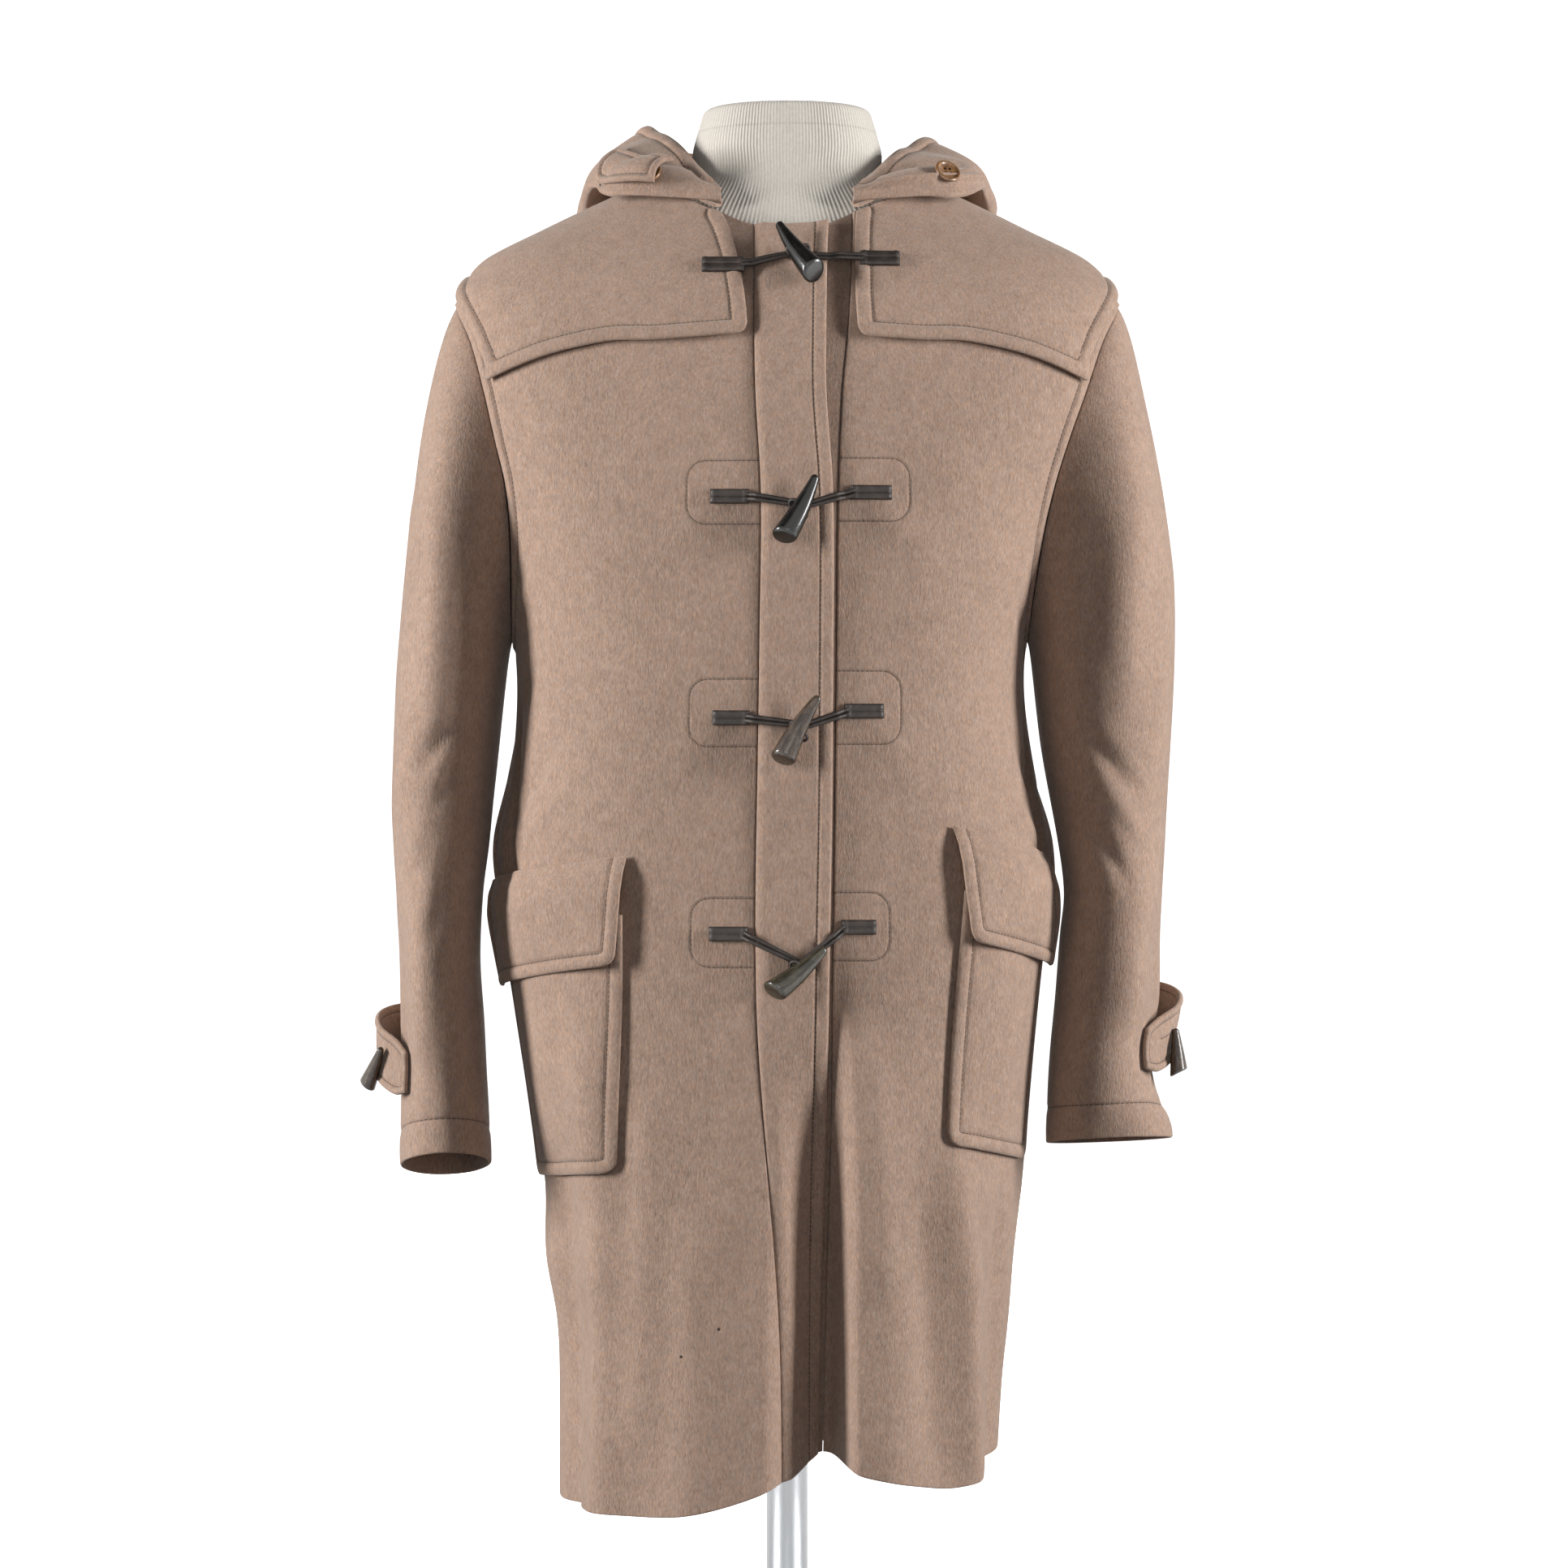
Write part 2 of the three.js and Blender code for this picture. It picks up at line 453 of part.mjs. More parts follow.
// Builds a closed wall from two grids of points, outer and inner. A tube's columns join round.
function wall(outer, inner, isTube) {
  const columns = outer.length;
  const rows = outer[0].length;
  const points = [...outer.flat(), ...inner.flat()];
  const at = (layer, i, j) => layer * columns * rows + (i % columns) * rows + j;
  const faces = [];
  const quad = (a, b, c, d) => faces.push(a, b, c, a, c, d);
  const spans = isTube ? columns : columns - 1;
  for (let i = 0; i < spans; i += 1) {
    for (let j = 0; j < rows - 1; j += 1) {
      quad(at(0, i, j), at(0, i, j + 1), at(0, i + 1, j + 1), at(0, i + 1, j));
      quad(at(1, i, j), at(1, i + 1, j), at(1, i + 1, j + 1), at(1, i, j + 1));
    }
    quad(at(0, i, 0), at(0, i + 1, 0), at(1, i + 1, 0), at(1, i, 0));
    quad(at(0, i, rows - 1), at(1, i, rows - 1), at(1, i + 1, rows - 1), at(0, i + 1, rows - 1));
  }
  for (let j = 0; j < rows - 1 && !isTube; j += 1) {
    quad(at(0, 0, j), at(1, 0, j), at(1, 0, j + 1), at(0, 0, j + 1));
    quad(at(0, spans, j), at(0, spans, j + 1), at(1, spans, j + 1), at(1, spans, j));
  }
  return surface(points, faces);
}

// Two grids of points from one function of column, row and layer, where layer 0 is the outer one
function grids(columns, rows, pointAt) {
  return [0, 1].map((layer) => Array.from({ length: columns }, (_, i) => (
    Array.from({ length: rows }, (__, j) => pointAt(i, j, layer)))));
}

// Closed solid from rings of points, from the top one to the bottom one, with flat ends
function ringedSolid(rings) {
  const sides = rings[0].length;
  const points = rings.flat();
  const faces = [];
  for (let r = 0; r < rings.length - 1; r += 1) {
    for (let i = 0; i < sides; i += 1) {
      const next = (i + 1) % sides;
      const a = r * sides;
      faces.push(a + i, a + sides + i, a + sides + next, a + i, a + sides + next, a + next);
    }
  }
  const foot = (rings.length - 1) * sides;
  for (let i = 1; i < sides - 1; i += 1) {
    faces.push(0, i, i + 1, foot, foot + i + 1, foot + i);
  }
  return surface(points, faces);
}

const coat = new THREE.Group();

function place(name, geometry, finish) {
  const mesh = new THREE.Mesh(geometry, new THREE.MeshStandardMaterial(finish));
  mesh.name = name;
  coat.add(mesh);
  return mesh;
}

// Width of one of the opening's lines at a height
function openingLine(line, height) {
  return read(OPENING, 'height', line, height);
}

// Front panels, from the opening's seam round to the shoulder, armhole and side seam
function frontPanel(side, seamLine) {
  const columns = FRONT_COLUMNS;
  const crowding = FRONT_CROWDING;
  const [outer, inner] = grids(columns + 1, PANEL_ROWS + 1, (i, j, layer) => {
    const part = Math.pow(i / columns, crowding);
    const column = side > 0 ? part : 1 - Math.pow(1 - i / columns, crowding);
    let angle = side * Math.PI / 4;
    let height = rowHeight(j, angle);
    for (let pass = 0; pass < 3; pass += 1) {
      const seam = angleAcross(openingLine(seamLine, height) + side * SEAM_GAP / 2, height);
      const edge = outerAngle(side, j, height, 1);
      angle = side > 0 ? seam + (edge - seam) * column : edge + (seam - edge) * column;
      height = rowHeight(j, angle);
    }
    return trunkOffset(angle, height, layer === 0 ? 0 : -CLOTH);
  });
  return wall(outer, inner, false);
}

// Back panel, from one side seam to the other
function backPanel() {
  const columns = BACK_COLUMNS;
  const [outer, inner] = grids(columns + 1, PANEL_ROWS + 1, (i, j, layer) => {
    const part = i / columns;
    let angle = Math.PI * (part < 0.5 ? 0.75 : -0.75);
    let height = rowHeight(j, angle);
    for (let pass = 0; pass < 3; pass += 1) {
      const start = outerAngle(1, j, height, -1);
      const end = 2 * Math.PI + outerAngle(-1, j, height, -1);
      const toCentre = start + (Math.PI - start) * 2 * part;
      const fromCentre = Math.PI + (end - Math.PI) * (2 * part - 1);
      angle = part > 0.5 ? fromCentre - 2 * Math.PI : toCentre;
      height = rowHeight(j, angle);
    }
    return trunkOffset(angle, height, layer === 0 ? 0 : -CLOTH);
  });
  return wall(outer, inner, false);
}

// Bands down the front opening, between two of the opening's lines
function openingBand(from, to, level) {
  const [outer, inner] = grids(BAND_COLUMNS + 1, PANEL_ROWS + 1, (i, j, layer) => {
    let angle = 0;
    let height = rowHeight(j, angle);
    for (let pass = 0; pass < 3; pass += 1) {
      const start = openingLine(from, height) + (from === 'overSeam' ? SEAM_GAP / 2 : 0);
      const end = openingLine(to, height) - (to === 'underSeam' ? SEAM_GAP / 2 : 0);
      angle = angleAcross(start + (end - start) * i / BAND_COLUMNS, height);
      height = rowHeight(j, angle);
    }
    return trunkOffset(angle, height, layer === 0 ? level.outer : level.inner);
  });
  return wall(outer, inner, false);
}

// Armhole point for a turn round the sleeve, 0 at the top and a quarter turn at the front
function armholePoint(side, turn, out) {
  const height = ARMHOLE_CENTRE + (ARMHOLE_HALF_HEIGHT - SEAM_GAP) * Math.cos(turn);
  const y = -(ARMHOLE_HALF_WIDTH - SEAM_GAP) * Math.sin(turn);
  return trunkOffset(angleInDepth(side, y, height), height, out);
}

// Point of a sleeve's hanging tube
function tubePoint(table, side, turn, height, out) {
  const outerEdge = read(table, 'height', 'outer', height);
  const innerEdge = read(table, 'height', 'inner', height);
  const centre = read(table, 'height', 'centre', height);
  const depth = read(table, 'height', 'depth', height);
  const middle = (outerEdge + innerEdge) / 2;
  const half = (outerEdge - innerEdge) / 2;
  const x = middle + (half + out) * Math.cos(turn);
  return new THREE.Vector3(side * x, centre - (depth + out) * Math.sin(turn), height);
}

// Height of the cuff's edge for a turn round the sleeve
function cuffHeight(cuff, turn) {
  const across = (cuff.outer + cuff.inner) / 2 + (cuff.outer - cuff.inner) / 2 * Math.cos(turn);
  const along = (cuff.front + cuff.back) / 2 + (cuff.front - cuff.back) / 2 * Math.sin(turn);
  return (across + along) / 2 + (along - (cuff.front + cuff.back) / 2) / 2;
}

// Sleeve: rings that turn from the upright armhole to the level cuff
function sleeve(side, table, cuff) {
  const [outer, inner] = grids(SLEEVE_SIDES, SLEEVE_RINGS + 1, (i, j, layer) => {
    const turn = -side * 2 * Math.PI * i / SLEEVE_SIDES;
    const start = SLEEVE_START.middle + SLEEVE_START.swing * Math.cos(turn);
    const rim = armholePoint(side, turn, start);
    const eye = new THREE.Vector3(rim.x, 0, ARMHOLE_CENTRE);
    const root = rim.clone().addScaledVector(eye.sub(rim).normalize(), layer * CLOTH);
    const along = Math.pow(j / SLEEVE_RINGS, SLEEVE_CROWDING);
    const height = rim.z + (cuffHeight(cuff, turn) - rim.z) * along;
    const tube = tubePoint(table, side, turn, height, -layer * CLOTH);
    const spread = 1 - Math.pow(1 - Math.min(along / SLEEVE_HEAD, 1), 2);
    return root.lerp(tube, spread);
  });
  return wall(outer, inner, true);
}

// Lower edge of the yoke from the front opening, up along the armhole and down to the centre back
function yokeEdge(side, part, bottomX) {
  const farAcross = side * YOKE_FRONT[YOKE_FRONT.length - 1].across;
  const corner = angleAcross(farAcross, YOKE.corner);
  const backCorner = side * YOKE_BACK[0].angle * DEGREE;
  if (part < YOKE_PARTS.corner) {
    const across = bottomX + (farAcross - bottomX) * part / YOKE_PARTS.corner;
    const height = read(YOKE_FRONT, 'across', 'height', Math.abs(across));
    return [angleAcross(across, height), height];
  }
  if (part <= YOKE_PARTS.backCorner) {
    const along = (part - YOKE_PARTS.corner) / (YOKE_PARTS.backCorner - YOKE_PARTS.corner);
    const rise = Math.asin((YOKE.corner - ARMHOLE_CENTRE) / (ARMHOLE_HALF_HEIGHT + YOKE.fromArmhole));
    const turn = rise + (Math.PI - 2 * rise) * along;
    const height = ARMHOLE_CENTRE + (ARMHOLE_HALF_HEIGHT + YOKE.fromArmhole) * Math.sin(turn);
    const y = -(ARMHOLE_HALF_WIDTH + YOKE.fromArmhole) * Math.cos(turn);
    const angle = angleInDepth(side, y, height);
    const start = ease(YOKE_PARTS.corner + YOKE_PARTS.turning, YOKE_PARTS.corner, part);
    const end = ease(YOKE_PARTS.backCorner - YOKE_PARTS.turning, YOKE_PARTS.backCorner, part);
    return [angle + (corner - angle) * start + (backCorner - angle) * end, height];
  }
  const along = (part - YOKE_PARTS.backCorner) / (1 - YOKE_PARTS.backCorner);
  const centre = side * Math.PI - side * SEAM_GAP / 2 / read(SECTIONS, 'height', 'back', YOKE.corner);
  const angle = backCorner + (centre - backCorner) * along;
  return [angle, read(YOKE_BACK, 'angle', 'height', Math.abs(angle) / DEGREE)];
}

// Yoke half: ruled on the trunk's surface between the neckline and its lower edge
function yoke(side, inner) {
  const { columns } = YOKE;
  const [outer, under] = grids(columns + 1, YOKE.rows + 1, (i, j, layer) => {
    const part = side > 0 ? i / columns : 1 - i / columns;
    const [edgeAngle, edgeHeight] = yokeEdge(side, part, inner.bottomX);
    const start = angleAcross(inner.topX, inner.top);
    const centre = side * Math.PI - side * SEAM_GAP / 2 / read(SECTIONS, 'height', 'back', YOKE.corner);
    const neckAngle = read(YOKE_NECK, 'part', 'angle', part);
    const top = part === 1 ? centre : start + (centre - start) * neckAngle;
    const neck = read(NECKLINE, 'angle', 'height', Math.abs(top) / DEGREE) - YOKE_NECK_DROP;
    const down = j / YOKE.rows;
    const angle = top + (edgeAngle - top) * down;
    const height = neck + (edgeHeight - neck) * down;
    return trunkOffset(angle, height, layer === 0 ? YOKE.outer : YOKE.inner);
  });
  return wall(outer, under, false);
}

// Smooth curve through the points of a hood station, from the neck seam to the mouth
function hoodSection(side, along) {
  const station = (column) => {
    const table = (axis) => HOOD_STATIONS.map((row) => ({ along: row.along, value: row[column][axis] }));
    return new THREE.Vector3(...[0, 1, 2].map((axis) => read(table(axis), 'along', 'value', along)));
  };
  const degrees = read(HOOD_STATIONS, 'along', 'angle', along);
  const neckHeight = read(NECKLINE, 'angle', 'height', degrees);
  const seam = trunkOffset(side * degrees * DEGREE, neckHeight - HOOD_SEAM.drop, HOOD_SEAM.out);
  const points = [seam, ...['under', 'fold', 'belly', 'mouth'].map(station)];
  points.slice(1).forEach((point) => { point.x *= side; });
  const drop = side > 0 ? HOOD_LEFT_DROP.mouth * Math.sin(Math.PI * along) : 0;
  points[3].z -= drop * HOOD_LEFT_DROP.belly;
  points[4].z -= drop;
  return new THREE.CatmullRomCurve3(points, false, 'centripetal');
}

// Point of the hood and its outward normal
function hoodPoint(side, along, across, out) {
  const step = 0.004;
  const within = (share) => THREE.MathUtils.clamp(share, 0, 1);
  const at = (a, c) => hoodSection(side, within(a)).getPoint(within(c));
  const down = at(along, across - step).sub(at(along, across + step));
  const around = at(along + step, across).sub(at(along - step, across)).multiplyScalar(side);
  const normal = down.cross(around).normalize();
  if (along === 1) normal.x = 0;
  return at(along, across).addScaledVector(normal.normalize(), out);
}

// Hood half, from its front corner to the centre-back seam
function hood(side) {
  const [outer, inner] = grids(HOOD_COLUMNS + 1, HOOD_ROWS + 1, (i, j, layer) => {
    const along = side > 0 ? i / HOOD_COLUMNS : 1 - i / HOOD_COLUMNS;
    const point = hoodPoint(side, along, 1 - j / HOOD_ROWS, layer === 0 ? 0 : -CLOTH);
    if (along === 1) point.x = side * SEAM_GAP / 2;
    return point;
  });
  return wall(outer, inner, false);
}

// Lining: a thin wall inside both halves of the hood, short of the seam and the mouth
function hoodLining() {
  const half = HOOD_COLUMNS - LINING_BARE.columns;
  const rows = HOOD_ROWS - LINING_BARE.mouth - LINING_BARE.seam;
  const [outer, inner] = grids(2 * half + 1, rows + 1, (i, j, layer) => {
    const side = i < half ? 1 : -1;
    const along = 1 - Math.abs(i - half) / HOOD_COLUMNS;
    const across = 1 - (j + LINING_BARE.mouth) / HOOD_ROWS;
    const point = hoodPoint(side, along, across, -CLOTH - LINING.gap - layer * LINING.thick);
    if (i === half) point.x = 0;
    return point;
  });
  return wall(outer, inner, false);
}

// Part of the trunk's side that a pocket or flap covers, from the near edge to the far one
function patchPlace(side, patch, across, down, topFar) {
  const far = side * patch.farAngle * DEGREE;
  const top = patch.top + (topFar - patch.top) * across;
  const foot = patch.nearFoot + (patch.farFoot - patch.nearFoot) * across;
  const height = top + (foot - top) * down;
  const near = angleAcross(side * (patch.nearTop + (patch.nearBottom - patch.nearTop) * down), height);
  return [near + (far - near) * across, height];
}

// Patch pocket with a soft belly, open at the top
function pocket(side, patch) {
  const [outer, inner] = grids(POCKET.columns + 1, POCKET.rows + 1, (i, j, layer) => {
    const across = side > 0 ? i / POCKET.columns : 1 - i / POCKET.columns;
    const down = j / POCKET.rows;
    const [angle, height] = patchPlace(side, patch, across, down, patch.top);
    const belly = POCKET.belly * Math.sin(Math.PI * across) * Math.cos(Math.PI / 2 * down * down);
    return trunkOffset(angle, height, POCKET.laid + belly + (layer === 0 ? POCKET.thick : 0));
  });
  return wall(outer, inner, false);
}

// Flap, laid on the front at its seam and lifted over the pocket below it
function flap(side, patch) {
  const [outer, inner] = grids(FLAP.columns + 1, FLAP.rows + 1, (i, j, layer) => {
    const across = side > 0 ? i / FLAP.columns : 1 - i / FLAP.columns;
    const down = j / FLAP.rows;
    const [angle, height] = patchPlace(side, patch, across, down, patch.farTop);
    const lift = FLAP.lift * ease(0, FLAP.hinge, down);
    return trunkOffset(angle, height, FLAP.laid + lift + (layer === 0 ? FLAP.thick : 0));
  });
  return wall(outer, inner, false);
}

// Flat strip on the front between two places, with its stand-off read along it
function strip(from, to, width, thick, columns, standoff) {
  const [outer, inner] = grids(columns + 1, 2, (i, j, layer) => {
    const part = i / columns;
    const x = from[0] + (to[0] - from[0]) * part;
    const height = from[1] + (to[1] - from[1]) * part + width * (0.5 - j);
    return trunkOffset(angleAcross(x, height), height, standoff(x) + (layer === 0 ? thick : 0));
  });
  return wall(outer, inner, false);
}

// Solid turned from pairs of radius and length
function lathe(profile, sides) {
  const outline = profile.map(([radius, length]) => new THREE.Vector2(radius, length));
  return new THREE.LatheGeometry(outline, sides);
}

// Horn cone with rounded ends, its base at the first point and its tip at the second
function hornCone(base, tip, shape) {
  const long = shape.length;
  const profile = [
    [0, 0],
    [shape.base * 0.8, 0],
    [shape.base, long * 0.04],
    [shape.base * 0.82, long * 0.4],
    [shape.base * 0.52, long * 0.75],
    [shape.tip, long * 0.97],
    [0, long],
  ];
  const geometry = lathe(profile, shape.sides);
  const way = tip.clone().sub(base).normalize();
  geometry.applyQuaternion(new THREE.Quaternion().setFromUnitVectors(new THREE.Vector3(0, 1, 0), way));
  geometry.translate(base.x, base.y, base.z);
  return geometry;
}

// Point that stands out from the front at a width and height
function onFront(x, height, out) {
  return trunkOffset(angleAcross(x, height), height, out);
}

// One fastening: a tab and a thong on each front, and the toggle between them
function fastening(tab, toggle, number) {
  const overBand = OVER_BAND.outer + LAID_GAP;
  const onCloth = tab.ground + LAID_GAP;
  const middle = (toggle.tipX + toggle.baseX) / 2;
  const middleZ = (toggle.tipZ + toggle.baseZ) / 2;
  const flat = () => onCloth;
  const climb = (edge, side) => (x) => onCloth
    + (overBand - onCloth) * ease(edge + side * THONG.climbFrom, edge + side * THONG.climbTo, x);
  const onRight = climb(openingLine('overSeam', tab.right), -1);
  const onLeft = climb(openingLine('overEdge', tab.left), 1);
  place(`tab_right_${number}`, strip([tab.rightFrom, tab.right], [tab.rightTo, tab.right],
    TAB.width, TAB.thick, TAB.columns, flat), LEATHER);
  place(`thong_right_${number}`, strip([tab.rightTo + SEAM_GAP, tab.right],
    [middle - THONG.reach, middleZ], THONG.width, THONG.thick, THONG.columns, onRight), LEATHER);
  place(`tab_left_${number}`, strip([tab.leftFrom, tab.left], [tab.leftTo, tab.left],
    TAB.width, TAB.thick, TAB.columns, flat), LEATHER);
  place(`thong_left_${number}`, strip([middle + THONG.reach, middleZ],
    [tab.leftFrom - SEAM_GAP, tab.left], THONG.width, THONG.thick, THONG.columns, onLeft), LEATHER);
  const rest = (overBand + Math.max(overBand, onCloth)) / 2 + THONG.thick;
  const base = onFront(toggle.baseX, toggle.baseZ, rest + TOGGLE.baseOut);
  const tip = onFront(toggle.tipX, toggle.tipZ, rest + TOGGLE.tipOut);
  place(`toggle_${number}`, hornCone(base, tip, TOGGLE), HORN);
}

// Strap of a cuff, bowed out from the sleeve between its back seam and its front end
function cuffTab(side, table, stations) {
  const last = stations[stations.length - 1].turn;
  const first = stations[0].turn;
  const [outer, inner] = grids(STRAP.columns + 1, STRAP.rows + 1, (i, j, layer) => {
    const part = side < 0 ? i / STRAP.columns : 1 - i / STRAP.columns;
    const turn = first + (last - first) * part;
    const width = read(stations, 'turn', 'width', turn);
    const height = read(stations, 'turn', 'height', turn) + width * (0.5 - j / STRAP.rows);
    const out = read(stations, 'turn', 'standoff', turn) + (layer === 0 ? STRAP.thick : 0);
    return tubePoint(table, side, turn * DEGREE, height, out);
  });
  return wall(outer, inner, false);
}

function cuffToggle(side, table, set) {
  const tip = tubePoint(table, side, set.tipTurn * DEGREE, set.tipZ, set.tipOut);
  const base = tubePoint(table, side, set.baseTurn * DEGREE, set.baseZ, set.baseOut);
  return hornCone(base, tip, CUFF_TOGGLE);
}

// Throat tab: a short strap on the hood's side, lifted at its front end over its button
function throatTab() {
  const [outer, inner] = grids(THROAT_TAB.columns + 1, THROAT_TAB.rows + 1, (i, j, layer) => {
    const part = i / THROAT_TAB.columns;
    const along = THROAT_TAB.to + (THROAT_TAB.from - THROAT_TAB.to) * part;
    const across = THROAT_TAB.high + (THROAT_TAB.low - THROAT_TAB.high) * j / THROAT_TAB.rows;
    const lift = ease(THROAT_TAB.liftFrom, THROAT_TAB.liftTo, part);
    const out = THROAT_TAB.rootOut + (THROAT_TAB.tipOut - THROAT_TAB.rootOut) * lift;
    return hoodPoint(-1, along, across, out + (layer === 0 ? THROAT_TAB.thick : 0));
  });
  return wall(outer, inner, false);
}

// Round button that lies on the hood
function throatButton(side, seat) {
  const { radius, thick } = BUTTON;
  const profile = [[0, 0], [radius, 0], [radius, thick * 0.6], [radius * 0.8, thick], [0, thick]];
  const geometry = lathe(profile, BUTTON.sides);
  const foot = hoodPoint(side, seat.along, seat.across, 0);
  const way = hoodPoint(side, seat.along, seat.across, 1).sub(foot).normalize();
  geometry.applyQuaternion(new THREE.Quaternion().setFromUnitVectors(new THREE.Vector3(0, 1, 0), way));
  const centre = foot.addScaledVector(way, BUTTON.out);
  geometry.translate(centre.x, centre.y, centre.z);
  return geometry;
}

// Level ring of the dress form at a height
function formRing(height) {
  const square = read(FORM_SECTIONS, 'height', 'square', height);
  const width = read(FORM_SECTIONS, 'height', 'width', height);
  return Array.from({ length: FORM_SIDES }, (_, i) => {
    const turn = 2 * Math.PI * i / FORM_SIDES;
    const depth = read(FORM_SECTIONS, 'height', Math.cos(turn) > 0 ? 'front' : 'back', height);
    const sideways = Math.pow(Math.abs(Math.sin(turn)) / width, square);
    const lengthways = Math.pow(Math.abs(Math.cos(turn)) / depth, square);
    const radius = Math.pow(sideways + lengthways, -1 / square);
    return new THREE.Vector3(radius * Math.sin(turn), -radius * Math.cos(turn), height);
  });
}

// Dress form: level rings from the cut neck to the flat foot, closer together at the shoulders
function formBody() {
  const top = FORM_SECTIONS[FORM_SECTIONS.length - 1].height;
  const foot = FORM_SECTIONS[0].height;
  const level = (i) => top + (foot - top) * Math.pow(i / FORM_RINGS, FORM_CROWDING);
  return ringedSolid(Array.from({ length: FORM_RINGS + 1 }, (_, i) => formRing(level(i))));
}

function turned(profile, sides) {
  const geometry = lathe(profile, sides);
  geometry.rotateX(Math.PI / 2);
  return geometry;
}

// Round base plate with a low hub
function base() {
  const { radius, thick, hub, hubHeight } = BASE;
  const edge = thick / 3;
  return turned([[0, 0], [radius, 0], [radius, thick - edge], [radius - edge, thick], [hub, thick],
    [hub, hubHeight], [0, hubHeight]], BASE.sides);
}

function pole() {
  const foot = BASE.hubHeight + SEAM_GAP;
  const top = FORM_SECTIONS[0].height - SEAM_GAP;
  const cuff = top - COLLAR.height;
  return turned([[0, foot], [POLE.radius, foot], [POLE.radius, cuff], [COLLAR.radius, cuff],
    [COLLAR.radius, top], [0, top]], POLE.sides);
}

place('front_right', frontPanel(-1, 'overSeam'), WOOL);
place('front_left', frontPanel(1, 'underSeam'), WOOL);
place('back', backPanel(), WOOL);
place('band_over', openingBand('overSeam', 'overEdge', OVER_BAND), WOOL);
place('band_under', openingBand('underEdge', 'underSeam', UNDER_BAND), WOOL_UNDER);
place('sleeve_right', sleeve(-1, SLEEVE_RIGHT, CUFF_RIGHT), WOOL);
place('sleeve_left', sleeve(1, SLEEVE_LEFT, CUFF_LEFT), WOOL);
place('yoke_right', yoke(-1, YOKE_INNER_RIGHT), WOOL);
place('yoke_left', yoke(1, YOKE_INNER_LEFT), WOOL);
place('hood_right', hood(-1), WOOL);
place('hood_left', hood(1), WOOL);
place('hood_lining', hoodLining(), LINING_CLOTH);
place('pocket_right', pocket(-1, POCKET_RIGHT), WOOL);
place('pocket_left', pocket(1, POCKET_LEFT), WOOL);
place('flap_right', flap(-1, FLAP_RIGHT), WOOL);
place('flap_left', flap(1, FLAP_LEFT), WOOL);
TABS.forEach((tab, index) => fastening(tab, TOGGLES[index], index + 1));
place('cuff_tab_right', cuffTab(-1, SLEEVE_RIGHT, CUFF_TAB_RIGHT), WOOL);
place('cuff_tab_left', cuffTab(1, SLEEVE_LEFT, CUFF_TAB_LEFT), WOOL);
place('cuff_toggle_right', cuffToggle(-1, SLEEVE_RIGHT, CUFF_TOGGLE_RIGHT), HORN);
place('cuff_toggle_left', cuffToggle(1, SLEEVE_LEFT, CUFF_TOGGLE_LEFT), HORN);
place('throat_tab', throatTab(), WOOL);
place('throat_button_right', throatButton(-1, BUTTON_RIGHT), AMBER);
place('throat_button_left', throatButton(1, BUTTON_LEFT), AMBER);
place('form_body', formBody(), JERSEY);
place('form_pole', pole(), STEEL);
place('form_base', base(), STEEL);

export default coat;
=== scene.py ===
import bpy
import numpy as np
from mathutils import Matrix


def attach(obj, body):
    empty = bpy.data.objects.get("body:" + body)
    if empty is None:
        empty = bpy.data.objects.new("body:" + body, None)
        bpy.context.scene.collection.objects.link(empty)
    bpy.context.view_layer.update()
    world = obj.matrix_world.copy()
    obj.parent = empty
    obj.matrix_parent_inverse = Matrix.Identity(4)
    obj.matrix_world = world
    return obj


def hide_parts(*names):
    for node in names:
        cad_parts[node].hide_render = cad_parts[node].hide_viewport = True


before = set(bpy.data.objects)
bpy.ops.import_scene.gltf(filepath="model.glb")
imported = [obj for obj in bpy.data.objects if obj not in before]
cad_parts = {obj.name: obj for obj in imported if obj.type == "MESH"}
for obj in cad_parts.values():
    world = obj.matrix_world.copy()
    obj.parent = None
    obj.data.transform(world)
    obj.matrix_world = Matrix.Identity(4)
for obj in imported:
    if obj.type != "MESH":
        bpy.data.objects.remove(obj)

bl_info = {
    "name": "Duffle coat on dress form",
    "version": (1, 0, 0),
    "blender": (4, 2, 0),
    "location": "3D View > Sidebar > Duffle coat",
    "description": "Builds a wool duffle coat with horn toggles on a limbless dress form",
    "category": "Add Mesh",
}

# Lengths in the tables are millimetres, and meshes are written in metres
MM = 0.001
DEGREE = np.pi / 180

CLOTH = 2.4
BAND_CLOTH = 3.6
SEAM_GAP = 0.3
LAID_GAP = 0.9
SHOULDER_TIP = 1065
UNDERARM = 805
ARMHOLE_CENTRE = (SHOULDER_TIP + UNDERARM) / 2
ARMHOLE_HALF_HEIGHT = (SHOULDER_TIP - UNDERARM) / 2
ARMHOLE_HALF_WIDTH = 72
SHOULDER_ROWS = 6
ARMHOLE_ROWS = 10
SKIRT_ROWS = 13
SIDES = {-1: "right", 1: "left"}


def columns(names, *rows):
    """Table as a dict of its columns."""
    return dict(zip(names.split(), np.array(rows, float).T))


